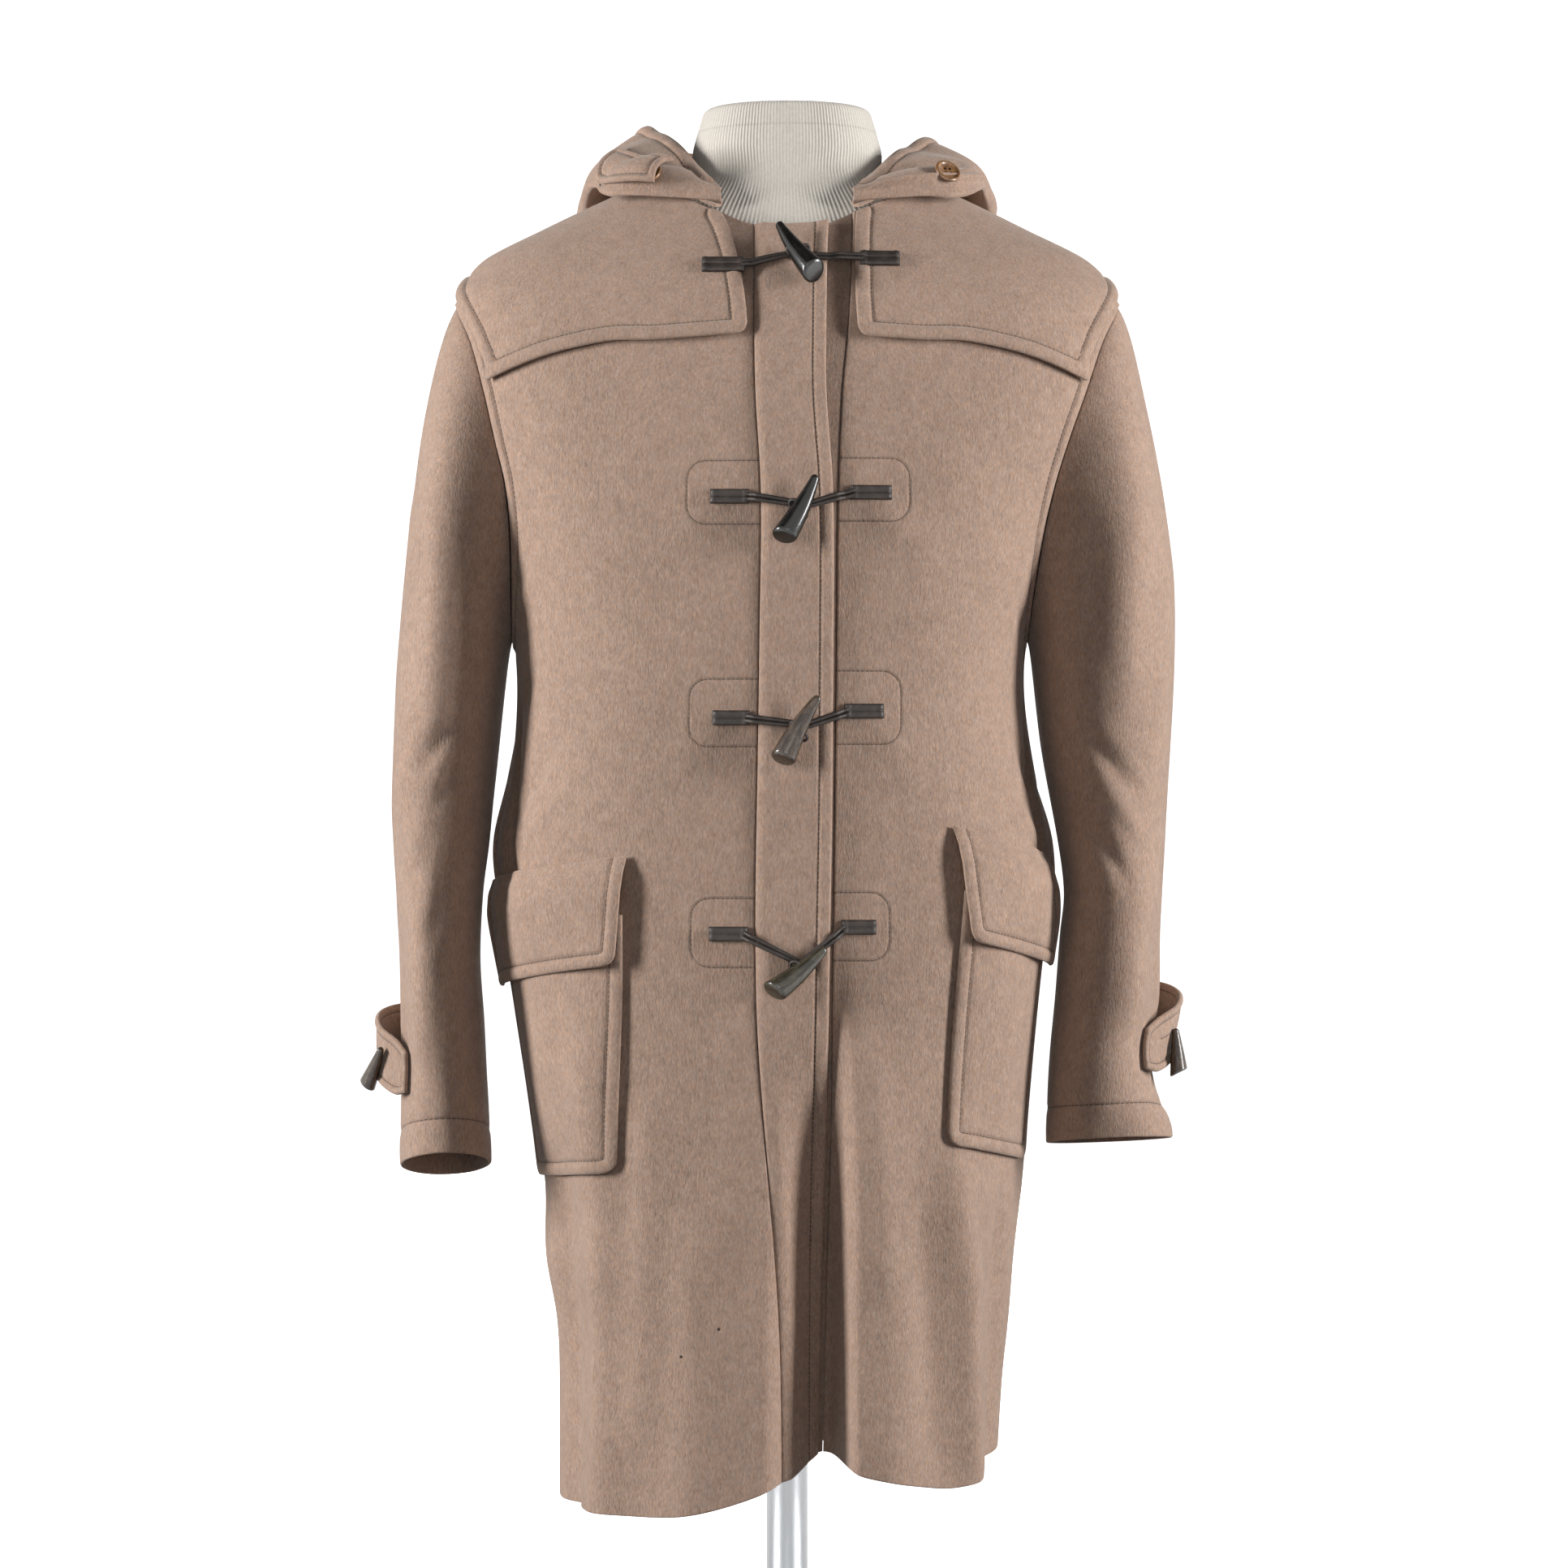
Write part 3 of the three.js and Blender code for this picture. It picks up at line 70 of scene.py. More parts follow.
SECTIONS = columns(
    "height right left front back square",
    (120, 176, 160, 152, 156, 2.25), (233, 176, 166, 152, 154, 2.25), (284, 178, 171, 151, 152, 2.25),
    (334, 186, 175, 150, 151, 2.3), (384, 187, 181, 150, 150, 2.3), (450, 195, 185, 150, 149, 2.35),
    (560, 210, 195, 150, 146, 2.4), (605, 218, 203, 150, 144, 2.4), (650, 223, 202, 150, 142, 2.4),
    (700, 214, 191, 151, 140, 2.4), (760, 209, 183, 152, 140, 2.4), (805, 211, 185, 152, 142, 2.4),
    (870, 222, 203, 151, 146, 2.4), (923, 233, 221, 147, 148, 2.4), (957, 242, 233, 143, 147, 2.4),
    (996, 250, 247, 135, 143, 2.35), (1030, 254, 254, 125, 137, 2.3), (1065, 256, 256, 111, 127, 2.25),
    (1082, 243, 242, 103, 121, 2.2), (1096, 229, 226, 94, 115, 2.2), (1117, 188, 184, 81, 104, 2.2),
    (1135, 151, 148, 71, 93, 2.15), (1150, 118, 116, 63, 82, 2.1), (1163, 88, 88, 57, 72, 2.1),
    (1180, 72, 72, 51, 62, 2.1),
)
NECKLINE = columns(
    "angle height",
    (0, 1117), (20, 1120), (36, 1130), (60, 1147), (90, 1163), (130, 1170), (180, 1172),
)
HEM = columns(
    "angle height",
    (-180, 160), (-130, 152), (-90, 148), (-45, 148), (-30, 151), (-15, 161), (0, 177), (10, 193),
    (20, 182), (40, 170), (52, 167), (75, 181), (90, 186), (130, 174), (180, 160),
)
FOLDS = columns(
    "top top_angle bottom bottom_angle width rise",
    (560, -50, 100, -54, 20, 8), (470, -66, 100, -70, 15, -8), (440, -22, 100, -25, 26, 7),
    (470, 44, 100, 60, 17, 8), (430, 62, 100, 76, 14, -7), (520, 24, 100, 28, 26, 6),
    (800, -84, 560, -71, 13, -9), (790, -100, 520, -86, 13, 6), (800, 84, 560, 72, 13, -8),
    (760, 101, 520, 87, 13, 5), (900, -128, 120, -132, 24, -9), (760, -152, 100, -156, 26, 9),
    (700, 176, 100, 179, 24, -9), (820, 150, 100, 154, 27, 8), (900, 126, 120, 131, 22, -9),
)
OPENING = columns(
    "height over_seam over_edge under_seam under_edge",
    (150, -3, 22, 26, 2), (300, -6, 25, 29, -1), (530, -23, 31, 33.5, -18), (800, -21, 34, 36.5, -16),
    (911, -20, 34, 38, -15), (986, -24, 29, 41, -19), (1037, -25, 29, 46, -20),
    (1120, -25, 31, 50, -20),
)
SLEEVE_RIGHT = columns(
    "height outer inner centre depth",
    (380, 297, 226, -34, 56), (446, 296, 229, -32, 58), (476, 296, 231, -30, 60),
    (513, 297, 233, -28, 63), (560, 298, 236, -24, 67), (611, 300, 234, -20, 71),
    (648, 303, 230, -16, 75), (686, 305, 227, -13, 79), (768, 302, 219, -7, 87),
    (818, 298, 216, -4, 91), (875, 293, 216, -1, 92), (931, 287, 219, 0, 88), (981, 281, 220, 0, 82),
    (1023, 274, 220, 0, 74), (1051, 265, 220, 0, 70), (1075, 255, 220, 0, 66),
)
SLEEVE_LEFT = columns(
    "height outer inner centre depth",
    (380, 296, 198, -32, 46), (430, 295, 199, -31, 47), (461, 283, 200, -30, 52),
    (490, 279, 202, -29, 56), (530, 286, 206, -26, 58), (580, 287, 210, -22, 62),
    (611, 288, 213, -20, 66), (650, 291, 209, -16, 70), (736, 297, 195, -9, 79),
    (799, 299, 190, -5, 84), (862, 298, 192, -1, 88), (913, 292, 200, 0, 87), (947, 286, 208, 0, 83),
    (986, 279, 214, 0, 79), (1026, 273, 220, 0, 73), (1051, 266, 220, 0, 70), (1075, 255, 220, 0, 66),
)
YOKE_FRONT = columns(
    "across height",
    (0, 1032), (98, 1025), (130, 1025), (162, 1020), (186, 1014), (224, 1000),
)
YOKE_BACK = columns(
    "angle height",
    (105, 1000), (140, 998), (180, 984),
)
YOKE_NECK = columns(
    "part angle",
    (0, 0), (0.25, 0.16), (0.4167, 0.373), (0.5833, 0.55), (1, 1),
)
HOOD_STATIONS = columns(
    "along angle under_x under_y under_z fold_x fold_y fold_z belly_x belly_y belly_z mouth_x mouth_y mouth_z",
    (0, 37, 49.5, -70, 1135, 50, -73, 1138, 50.5, -74, 1143, 50, -70, 1148),
    (0.1, 55, 80, -65, 1143, 98, -73, 1141, 95, -66, 1158, 66, -48, 1167),
    (0.22, 74, 112, -42, 1154, 134, -52, 1146, 132, -42, 1168, 85, -22, 1190),
    (0.34, 90, 126, -4, 1165, 152, -10, 1153, 148, 2, 1176, 106, 8, 1207),
    (0.48, 110, 123, 64, 1153, 160, 70, 1130, 160, 66, 1165, 112, 50, 1205),
    (0.62, 130, 104, 122, 1116, 146, 142, 1068, 150, 142, 1130, 98, 90, 1202),
    (0.8, 155, 60, 153, 1066, 92, 190, 985, 96, 202, 1080, 54, 116, 1198),
    (1, 180, 0, 158, 1050, 0, 206, 952, 0, 220, 1058, 0, 124, 1196),
)
TABS = columns(
    "right right_from right_to left left_from left_to ground",
    (1081, -63, -32, 1086, 54, 84, 6.2), (908, -57, -28, 911, 47, 77, 0),
    (744, -55, -28, 749, 42, 71, 0), (584, -58, -29, 589, 40, 66, 0),
)
TOGGLES = columns(
    "tip_x tip_z base_x base_z",
    (-7, 1110, 20, 1070), (21, 922, -3, 876), (23, 760, -3, 713), (28, 575, -12, 542),
)
CUFF_TAB_RIGHT = columns(
    "turn standoff height width",
    (-62, 0.6, 503, 40), (-38, 11, 503, 42), (-14, 17, 498, 44), (8, 14, 488, 44), (28, 6, 480, 42),
    (44, 2, 476, 30),
)
CUFF_TAB_LEFT = columns(
    "turn standoff height width",
    (-62, 0.8, 520, 40), (-38, 12, 520, 42), (-16, 17, 514, 44), (6, 13, 504, 44), (26, 6, 497, 42),
    (42, 2, 494, 30),
)
FORM_SECTIONS = columns(
    "height width front back square",
    (520, 168, 112, 118, 2.2), (560, 172, 116, 122, 2.2), (640, 172, 118, 122, 2.2),
    (720, 158, 112, 112, 2.15), (790, 160, 118, 114, 2.15), (870, 178, 130, 124, 2.2),
    (950, 196, 130, 130, 2.3), (1020, 204, 112, 122, 2.3), (1060, 204, 104, 118, 2.25),
    (1088, 202, 92, 110, 2.2), (1104, 190, 84, 103, 2.2), (1117, 172, 76, 98, 2.2),
    (1135, 137, 66, 87, 2.15), (1150, 100.5, 58, 72.5, 2.1), (1163, 76.5, 55, 59.5, 2.05),
    (1185, 73, 58, 58, 2), (1217, 64, 54, 54, 2),
)
FOLD_FADE = 110
HEM_FOLDS = 300
VALLEY = {"top": 610, "bottom": 200, "depth": 50, "start": -20, "floor": 24, "lip": 30, "end": 54}
OVER_BAND = 0.7 + BAND_CLOTH
UNDER_BAND = -1
SLEEVE_HEAD = 0.2
CUFFS = {
    -1: {"outer": 402, "front": 414, "inner": 410, "back": 388},
    1: {"outer": 428, "front": 425, "inner": 420, "back": 414},
}
SLEEVES = {-1: SLEEVE_RIGHT, 1: SLEEVE_LEFT}
YOKE_INNER = {-1: {"bottom": -29, "top": -46}, 1: {"bottom": 53, "top": 50}}
YOKE = {"outer": 3.8 + CLOTH, "armhole": 11, "corner": 1001, "top": 1131, "neck_drop": 4, "turning": 0.03,
        "round": 10}
YOKE_CORNER = 6 / 24
YOKE_BACK_CORNER = 14 / 24
# Turn by which the yoke's front edge bows
YOKE_BOW = {-1: 0.085, 1: -0.06}
HOOD_DROP = {"mouth": 10, "belly": 0.2}
POCKETS = {
    -1: {"near_top": 121, "near_bottom": 123, "far": 84, "top": 598, "near_foot": 405, "far_foot": 394},
    1: {"near_top": 130, "near_bottom": 116, "far": 76, "top": 616, "near_foot": 426, "far_foot": 408},
}
FLAPS = {
    -1: {"near_top": 118, "near_bottom": 124, "far": 88, "top": 642, "far_top": 622,
         "near_foot": 561, "far_foot": 540},
    1: {"near_top": 122, "near_bottom": 132, "far": 78, "top": 664, "far_top": 640,
        "near_foot": 579, "far_foot": 556},
}
CUFF_TABS = {-1: CUFF_TAB_RIGHT, 1: CUFF_TAB_LEFT}
CUFF_TOGGLES = {
    -1: {"tip_turn": 20, "tip_out": 17.5, "tip_z": 494, "base_turn": 2, "base_out": 26, "base_z": 464},
    1: {"tip_turn": 10, "tip_out": 17.2, "tip_z": 508, "base_turn": 14, "base_out": 21.2, "base_z": 474},
}
BUTTONS = {-1: (0.125, 0.72), 1: (0.17, 0.7)}

# Creases of the cloth, narrower than the folds: angle and height of both ends, width and rise
CREASES = columns(
    "top top_angle bottom bottom_angle width rise",
    (742, -58, 655, -73, 9, -3.2), (716, -50, 640, -70, 8, 2.4), (690, -74, 600, -60, 9, -3),
    (800, -66, 716, -80, 10, -2.6), (868, -60, 800, -82, 11, 2), (742, 66, 660, 80, 9, -3),
    (705, 60, 622, 77, 8, 2.6), (668, 74, 590, 62, 9, -2.8), (850, 62, 782, 80, 11, -2.4),
    (930, -14, 860, -34, 15, 1.6), (775, -12, 700, -30, 16, 1.5), (928, 18, 852, 38, 15, 1.6),
    (776, 17, 690, 36, 16, 1.4), (980, -30, 900, -44, 20, 1.6), (980, 30, 896, 46, 20, 1.5),
    (560, -12, 330, -17, 14, 2.6), (540, 21, 300, 25, 13, 2.6), (480, -36, 180, -42, 15, 3.2),
    (390, -60, 150, -61, 13, -3.2), (400, 36, 160, 44, 13, -3.2), (360, 52, 150, 56, 12, 3),
    (1000, -110, 880, -120, 14, -2.6), (1000, 110, 880, 122, 14, -2.6), (900, 168, 700, 173, 16, 2),
    (700, -168, 420, -172, 17, 2.6), (640, 140, 320, 142, 15, -2.8), (620, -142, 300, -140, 15, -2.8),
    (560, 112, 250, 116, 14, 2.8), (560, -112, 250, -117, 14, 2.8),
)
CREASE_FADE = 45
# Creases of the sleeves: turn round the sleeve, 0 outside and 90 in front, and height of both ends
SLEEVE_CREASES = {
    -1: columns(
        "top top_turn bottom bottom_turn width rise",
        (985, 62, 720, 84, 17, 3.4), (930, 34, 640, 50, 20, 2.6), (760, 120, 690, 60, 11, -4),
        (728, 132, 655, 72, 10, -3.6), (700, 100, 610, 40, 13, 3), (660, 118, 560, 86, 12, -3),
        (620, 64, 470, 74, 16, 2.8), (600, 30, 450, 36, 15, -2.2), (900, -60, 700, -80, 18, -3),
        (720, -110, 650, -60, 11, -3.4), (680, -130, 590, -90, 12, 3), (560, 150, 440, 140, 13, -2.4),
    ),
    1: columns(
        "top top_turn bottom bottom_turn width rise",
        (975, 60, 740, 80, 17, 3.2), (900, 96, 770, 108, 15, -3), (750, 126, 676, 62, 11, -4),
        (716, 118, 640, 54, 11, 3), (684, 132, 604, 70, 10, -3.6), (640, 60, 500, 68, 16, 2.8),
        (610, 28, 470, 34, 15, -2.4), (880, 30, 690, 44, 19, 2.6), (900, -60, 700, -80, 18, -3),
        (720, -110, 650, -60, 11, -3.4), (680, -130, 590, -90, 12, 3), (560, 150, 460, 140, 13, -2.4),
    ),
}
# Creases of the hood's halves: shares along and across both ends, width and rise in millimetres
HOOD_CREASES = {
    -1: columns(
        "along across end_along end_across width rise",
        (0.12, 0.95, 0.3, 0.5, 9, -3), (0.3, 0.98, 0.42, 0.6, 13, -3), (0.22, 0.5, 0.5, 0.62, 14, 2.6),
        (0.6, 0.4, 0.66, 0.9, 16, -4), (0.86, 0.35, 0.88, 0.85, 16, 3),
    ),
    1: columns(
        "along across end_along end_across width rise",
        (0.04, 0.72, 0.3, 0.625, 6, 5.5), (0.1, 0.93, 0.24, 0.78, 8, -3.4), (0.26, 0.98, 0.36, 0.55, 12, -3),
        (0.18, 0.48, 0.44, 0.6, 13, 2.8), (0.54, 0.4, 0.6, 0.92, 15, -4), (0.8, 0.35, 0.82, 0.85, 15, 3),
    ),
}
# D-shaped stitch outlines under the fastenings: side, outer width, top and bottom
OUTLINES = {
    -1: ((-74.4, 934.7, 887.2), (-72.6, 772.5, 722.5), (-71.4, 610.2, 559.0)),
    1: ((90.9, 936.6, 889.6), (84.2, 778.6, 724.3), (75.6, 614.5, 563.9)),
}
OUTLINE_CORNER = 14
OUTLINE_INNER = 40
# Two pinholes in the skirt's front, as width and height, each painted as a near-black dot of painted shade
PINHOLES = ((-50.6, 291.8), (-78.7, 270.4))
PINHOLE_RADIUS = 1.1

# Distances from an edge at which the cloth's points stand, plain and where it is sewn
RIM = (0, 0.25, 0.7, 1.4, 2.8)
SEWN_RIM = (0, 0.25, 0.7, 1.4, 2.8, 4.4, 6, 7.6, 9, 10.2, 11.4, 12.8, 15, 18)
STRAP_RIM = (0, 0.3, 0.8, 1.5, 3, 5, 6.5, 8)
FAR = 1000.0

# Distance of the stitches from the edge, and rise of the cloth between both
STITCHES = {"armhole": 10.5, "band": 9.8, "cuff": 26, "yoke": 11.6, "hood": 10.2, "pocket": 10.4, "flap": 10.2}
PUFFS = {"band": 0.9, "cuff": 0.5, "hood": 1.5, "pocket": 1.2}
PATCH_CLOTH = 3
LINING_CLOTH = 1.0
PATCH_GAP = 1.5
# Sizes of the pieces, near enough to space their points
TRUNK_LENGTH = {"shoulder": 80, "skirt": 640}
FRONT_WIDTH, BACK_WIDTH, BAND_WIDTH = 300, 330, 54
SLEEVE_LENGTH = 640
YOKE_SIZE = {"edge": 200, "down": 115, "corner": 100}
HOOD_SIZE = {"along": 420, "across": 260, "creases": 240, "lining": 170}
POCKET_SIZE = {"across": 110, "down": 190, "corner": 11}
FLAP_SIZE = {"across": 120, "down": 84, "corner": 9}
FORM_TOP, FORM_FOOT, FORM_EDGE, FORM_RIBS, FORM_SEAM = 1217, 520, 5, 150, 1198.5
# Radius and height of the throat button's outline
BUTTON_PROFILE = ((0.02, 0), (9.2, 0), (10, 0.3), (10.5, 1), (10.5, 1.9), (10.1, 2.6), (9.3, 3.0), (8.2, 2.9),
                  (7.4, 2.3), (6.8, 1.9), (3, 1.8), (0.02, 1.8))
BUTTON_RADIUS, BUTTON_GAP = 10.5, 0.8

# Studio in metres and watts: each light's name, place, aim, size and power
FLOOR_RADIUS, WALL_BEND, WALL_TOP = 5.0, 1.2, 7.0
LIGHTS = (
    ("left", (-2.7, -0.9, 1.3), (0, 0, 0.7), (0.5, 1.4), 104),
    ("right", (2.7, -0.9, 1.3), (0, 0, 0.7), (0.5, 1.4), 100),
    ("front", (0, -4.4, 1.3), (0, 0, 0.6), (1.6, 1.6), 24),
    ("back", (0, 4.4, 1.3), (0, 0, 0.6), (2.4, 2.0), 90),
)
WORLD_COLOUR, WORLD_STRENGTH = (0.93, 0.95, 1.0, 1.0), 0.07
CAMERA_PLACE, CAMERA_LENS, CAMERA_SENSOR = (-0.0024, -3.3, 0.695), 97.75, 36


def read(table, key, column, place):
    """Column of a table along its key: the cubic Hermite curve whose slope at a row joins its neighbours."""
    x, y = table[key], table[column]
    at = np.clip(place, x[0], x[-1])
    row = np.clip(np.searchsorted(x, at) - 1, 0, len(x) - 2)
    before, after = np.maximum(np.arange(len(x)) - 1, 0), np.minimum(np.arange(len(x)) + 1, len(x) - 1)
    slope = (y[after] - y[before]) / (x[after] - x[before])
    step = x[row + 1] - x[row]
    t = (at - x[row]) / step
    return ((2 * t**3 - 3 * t**2 + 1) * y[row] + (t**3 - 2 * t**2 + t) * step * slope[row]
            + (3 * t**2 - 2 * t**3) * y[row + 1] + (t**3 - t**2) * step * slope[row + 1])


def ease(start, end, place):
    """Rises from 0 to 1 between two places as 3 t^2 - 2 t^3."""
    t = np.clip((place - start) / (end - start), 0, 1)
    return t * t * (3 - 2 * t)


def unit(vectors):
    """Vectors divided by their lengths."""
    return vectors / np.maximum(np.linalg.norm(vectors, axis=-1, keepdims=True), 1e-12)


def rows(table):
    """Rows of a table, each as its numbers in the order of the columns."""
    return zip(*table.values())


def trunk_rise(angle, height, radius):
    """Folds, creases and a faint ripple: each fold adds rise * exp(-(turn * radius / width)^2) beside its line."""
    total = (0.35 * np.sin(5 * angle + height / 37) + 0.3 * np.sin(9 * angle - height / 53 + 1)
             + 0.25 * np.sin(13 * angle + height / 29 + 2))
    for table, fade in ((FOLDS, FOLD_FADE), (CREASES, CREASE_FADE)):
        for top, top_angle, bottom, bottom_angle, width, rise in rows(table):
            along = np.clip((top - height) / (top - bottom), 0, 1)
            turn = angle - (top_angle + (bottom_angle - top_angle) * along) * DEGREE
            across = np.arctan2(np.sin(turn), np.cos(turn)) * radius / width
            end = 1 if bottom < HEM_FOLDS and fade == FOLD_FADE else ease(bottom, bottom + fade, height)
            total = total + rise * ease(top, top - fade, height) * end * np.exp(-across * across)
    return total


def trunk_point(angle, height):
    """Trunk's surface: x = r sin a, y = valley - r cos a and z = height, where the radius r is that of a
    superellipse, (|sin a / width|^p + |cos a / depth|^p)^(-1/p), plus the folds."""
    square = read(SECTIONS, "height", "square", height)
    width = np.where(angle < 0, read(SECTIONS, "height", "right", height), read(SECTIONS, "height", "left", height))
    depth = np.where(np.cos(angle) > 0, read(SECTIONS, "height", "front", height),
                     read(SECTIONS, "height", "back", height))
    plain = (abs(np.sin(angle) / width)**square + abs(np.cos(angle) / depth)**square)**(-1 / square)
    radius = plain + trunk_rise(angle, height, plain)
    x = radius * np.sin(angle)
    deep = VALLEY["depth"] * ease(VALLEY["top"], VALLEY["bottom"], height)
    valley = deep * ease(VALLEY["start"], VALLEY["floor"], x) * ease(VALLEY["end"], VALLEY["lip"], x)
    y = np.where(np.cos(angle) > 0, valley, 0) - radius * np.cos(angle)
    return np.stack(np.broadcast_arrays(x, y, height), -1).astype(float)


def on_trunk(angle, height, out=0.0):
    """Trunk point moved out along cross(dP/d(-height), dP/d(angle))."""
    angle, height = np.broadcast_arrays(np.asarray(angle, float), np.asarray(height, float))
    down = trunk_point(angle, height - 2) - trunk_point(angle, height + 2)
    around = trunk_point(angle + 0.01, height) - trunk_point(angle - 0.01, height)
    return trunk_point(angle, height) + unit(np.cross(down, around)) * np.asarray(out, float)[..., None]


def angle_across(x, height):
    """Angle at which the trunk's front lies x from the middle: atan2(x, depth (1 - |x / width|^p)^(1/p))."""
    square = read(SECTIONS, "height", "square", height)
    width = np.where(x < 0, read(SECTIONS, "height", "right", height), read(SECTIONS, "height", "left", height))
    part = np.minimum(abs(x) / width, 0.9999)
    return np.arctan2(x, read(SECTIONS, "height", "front", height) * (1 - part**square)**(1 / square))


def angle_in_depth(side, y, height):
    """Angle at which the trunk's side lies at depth y: side * atan2(width (1 - |y / depth|^p)^(1/p), -y)."""
    square = read(SECTIONS, "height", "square", height)
    width = read(SECTIONS, "height", "right" if side < 0 else "left", height)
    depth = np.where(y < 0, read(SECTIONS, "height", "front", height), read(SECTIONS, "height", "back", height))
    part = np.minimum(abs(y) / depth, 0.9999)
    return side * np.arctan2(width * (1 - part**square)**(1 / square), -y)


def row_height(row, angle):
    """Height of a panel's row: lines from the neckline, then cosine steps down the armhole, then lines to the hem."""
    degrees = angle / DEGREE
    neck = read(NECKLINE, "angle", "height", abs(degrees))
    hem = read(HEM, "angle", "height", degrees)
    turn = np.pi * (row - SHOULDER_ROWS) / ARMHOLE_ROWS
    skirt = UNDERARM + (hem - UNDERARM) * (row - SHOULDER_ROWS - ARMHOLE_ROWS) / SKIRT_ROWS
    below = np.where(row <= SHOULDER_ROWS + ARMHOLE_ROWS, ARMHOLE_CENTRE + ARMHOLE_HALF_HEIGHT * np.cos(turn), skirt)
    return np.where(row <= SHOULDER_ROWS, neck + (SHOULDER_TIP - neck) * row / SHOULDER_ROWS, below)


def outer_angle(side, row, height, facing):
    """Angle of a panel's outer edge: the seams at a quarter turn, and between them the armhole's oval."""
    seam = side * (np.pi / 2 - facing * SEAM_GAP / 2 / read(SECTIONS, "height", "right", height))
    up = (height - ARMHOLE_CENTRE) / ARMHOLE_HALF_HEIGHT
    oval = ARMHOLE_HALF_WIDTH * np.sqrt(np.maximum(0, 1 - up * up)) + SEAM_GAP
    hole = angle_in_depth(side, -facing * oval, height)
    return np.where((row <= SHOULDER_ROWS) | (row >= SHOULDER_ROWS + ARMHOLE_ROWS), seam, hole)


def panel_rows():
    """Rows of the trunk's panels, about 4.5 mm apart, closer at the neck, the armhole's ends and the hem."""
    skirt = SHOULDER_ROWS + ARMHOLE_ROWS + spaced(TRUNK_LENGTH["skirt"], 4.6, (0,), RIM) * SKIRT_ROWS
    armhole = SHOULDER_ROWS + np.linspace(0, ARMHOLE_ROWS, 72)
    shoulder = spaced(TRUNK_LENGTH["shoulder"], 5, RIM, (0,)) * SHOULDER_ROWS
    return np.concatenate([shoulder[:-1], armhole[:-1], skirt])


def spaced(length, step, start, end):
    """Shares from 0 to 1: at the given distances from each end, and about one step apart between them."""
    first, last = np.array(start) / length, 1 - np.array(end)[::-1] / length
    middle = np.linspace(first[-1], last[0], max(2, round((last[0] - first[-1]) * length / step) + 1))
    return np.concatenate([first[:-1], middle, last[1:]])


def round_corners(across, down, width, height, radius, corners):
    """Shares of a patch with its corners rounded: where p and q run from 0 to 1 towards a corner of a square, the
    point is drawn back by radius * p (1 - sqrt(1 - q^2 / 2)) across and the like down."""
    across, down = np.broadcast_arrays(across, down)
    moved = [across.astype(float), down.astype(float)]
    for side, end in corners:
        p = np.clip(1 - abs(across - side) * width / radius, 0, 1)
        q = np.clip(1 - abs(down - end) * height / radius, 0, 1)
        moved[0] = moved[0] + (1 - 2 * side) * radius / width * p * (1 - np.sqrt(1 - q * q / 2))
        moved[1] = moved[1] + (1 - 2 * end) * radius / height * q * (1 - np.sqrt(1 - p * p / 2))
    return moved


def nearest(points, line):
    """Distance from each point to a polyline, and the length along the line to the nearest place on it."""
    flat = points.reshape(-1, 3)
    best, run = np.full(len(flat), np.inf), np.zeros(len(flat))
    start = 0.0
    for a, b in zip(line[:-1], line[1:]):
        length = np.linalg.norm(b - a)
        if length < 1e-6:
            continue
        t = np.clip((flat - a) @ (b - a) / length**2, 0, 1)
        gap = np.linalg.norm(flat - a - t[:, None] * (b - a), axis=1)
        run = np.where(gap < best, start + t * length, run)
        best = np.minimum(gap, best)
        start += length
    return best.reshape(points.shape[:-1]), run.reshape(points.shape[:-1])


def grid_normals(points, tube=False):
    """Unit normals of a grid: cross(down the rows, round the columns)."""
    if tube:
        around = np.roll(points, -1, 0) - np.roll(points, 1, 0)
    else:
        around = np.gradient(points, axis=0)
    return unit(np.cross(np.gradient(points, axis=1), around))


def arc(points, axis):
    """Length along a grid's lines from their start, and from their end."""
    steps = np.linalg.norm(np.diff(points, axis=axis), axis=-1)
    run = np.cumsum(steps, axis)
    run = np.concatenate([np.zeros_like(np.take(run, [0], axis)), run], axis)
    return run, np.take(run, [-1], axis) - run


def outline(points, sides):
    """Polyline along the named edges of a grid, which follow one another: left, bottom, right or top."""
    edges = {"left": points[0], "right": points[-1, ::-1], "top": points[::-1, 0], "bottom": points[:, -1]}
    return np.concatenate([edges[side] for side in sides.split()])


class Shape:
    """Points in millimetres, faces of three or four corners, and one number per point for each attribute."""

    def __init__(self, points, faces, **values):
        self.points, self.faces, self.values = points, faces, values


def grid_faces(index, wrap_columns=False, wrap_rows=False):
    """Quads between neighbouring entries of a grid of point numbers."""
    if wrap_columns:
        index = np.concatenate([index, index[:1]])
    if wrap_rows:
        index = np.concatenate([index, index[:, :1]], 1)
    return np.stack([index[:-1, :-1], index[:-1, 1:], index[1:, 1:], index[1:, :-1]], -1).reshape(-1, 4)


def closed(top, under, tube=False):
    """Points and faces of a grid and the grid under it, joined along their edges, and which of their points stay."""
    across, down = top.shape[:2]
    upper = np.arange(across * down).reshape(across, down)
    lower = upper + across * down
    lower[:, 0], lower[:, -1] = upper[:, 0], upper[:, -1]
    if not tube:
        lower[0], lower[-1] = upper[0], upper[-1]
    faces = np.concatenate([grid_faces(upper, tube), grid_faces(lower, tube)[:, ::-1]])
    used, numbers = np.unique(faces, return_inverse=True)
    points = np.concatenate([top.reshape(-1, 3), under.reshape(-1, 3)])
    return points[used], numbers.reshape(-1, 4), used


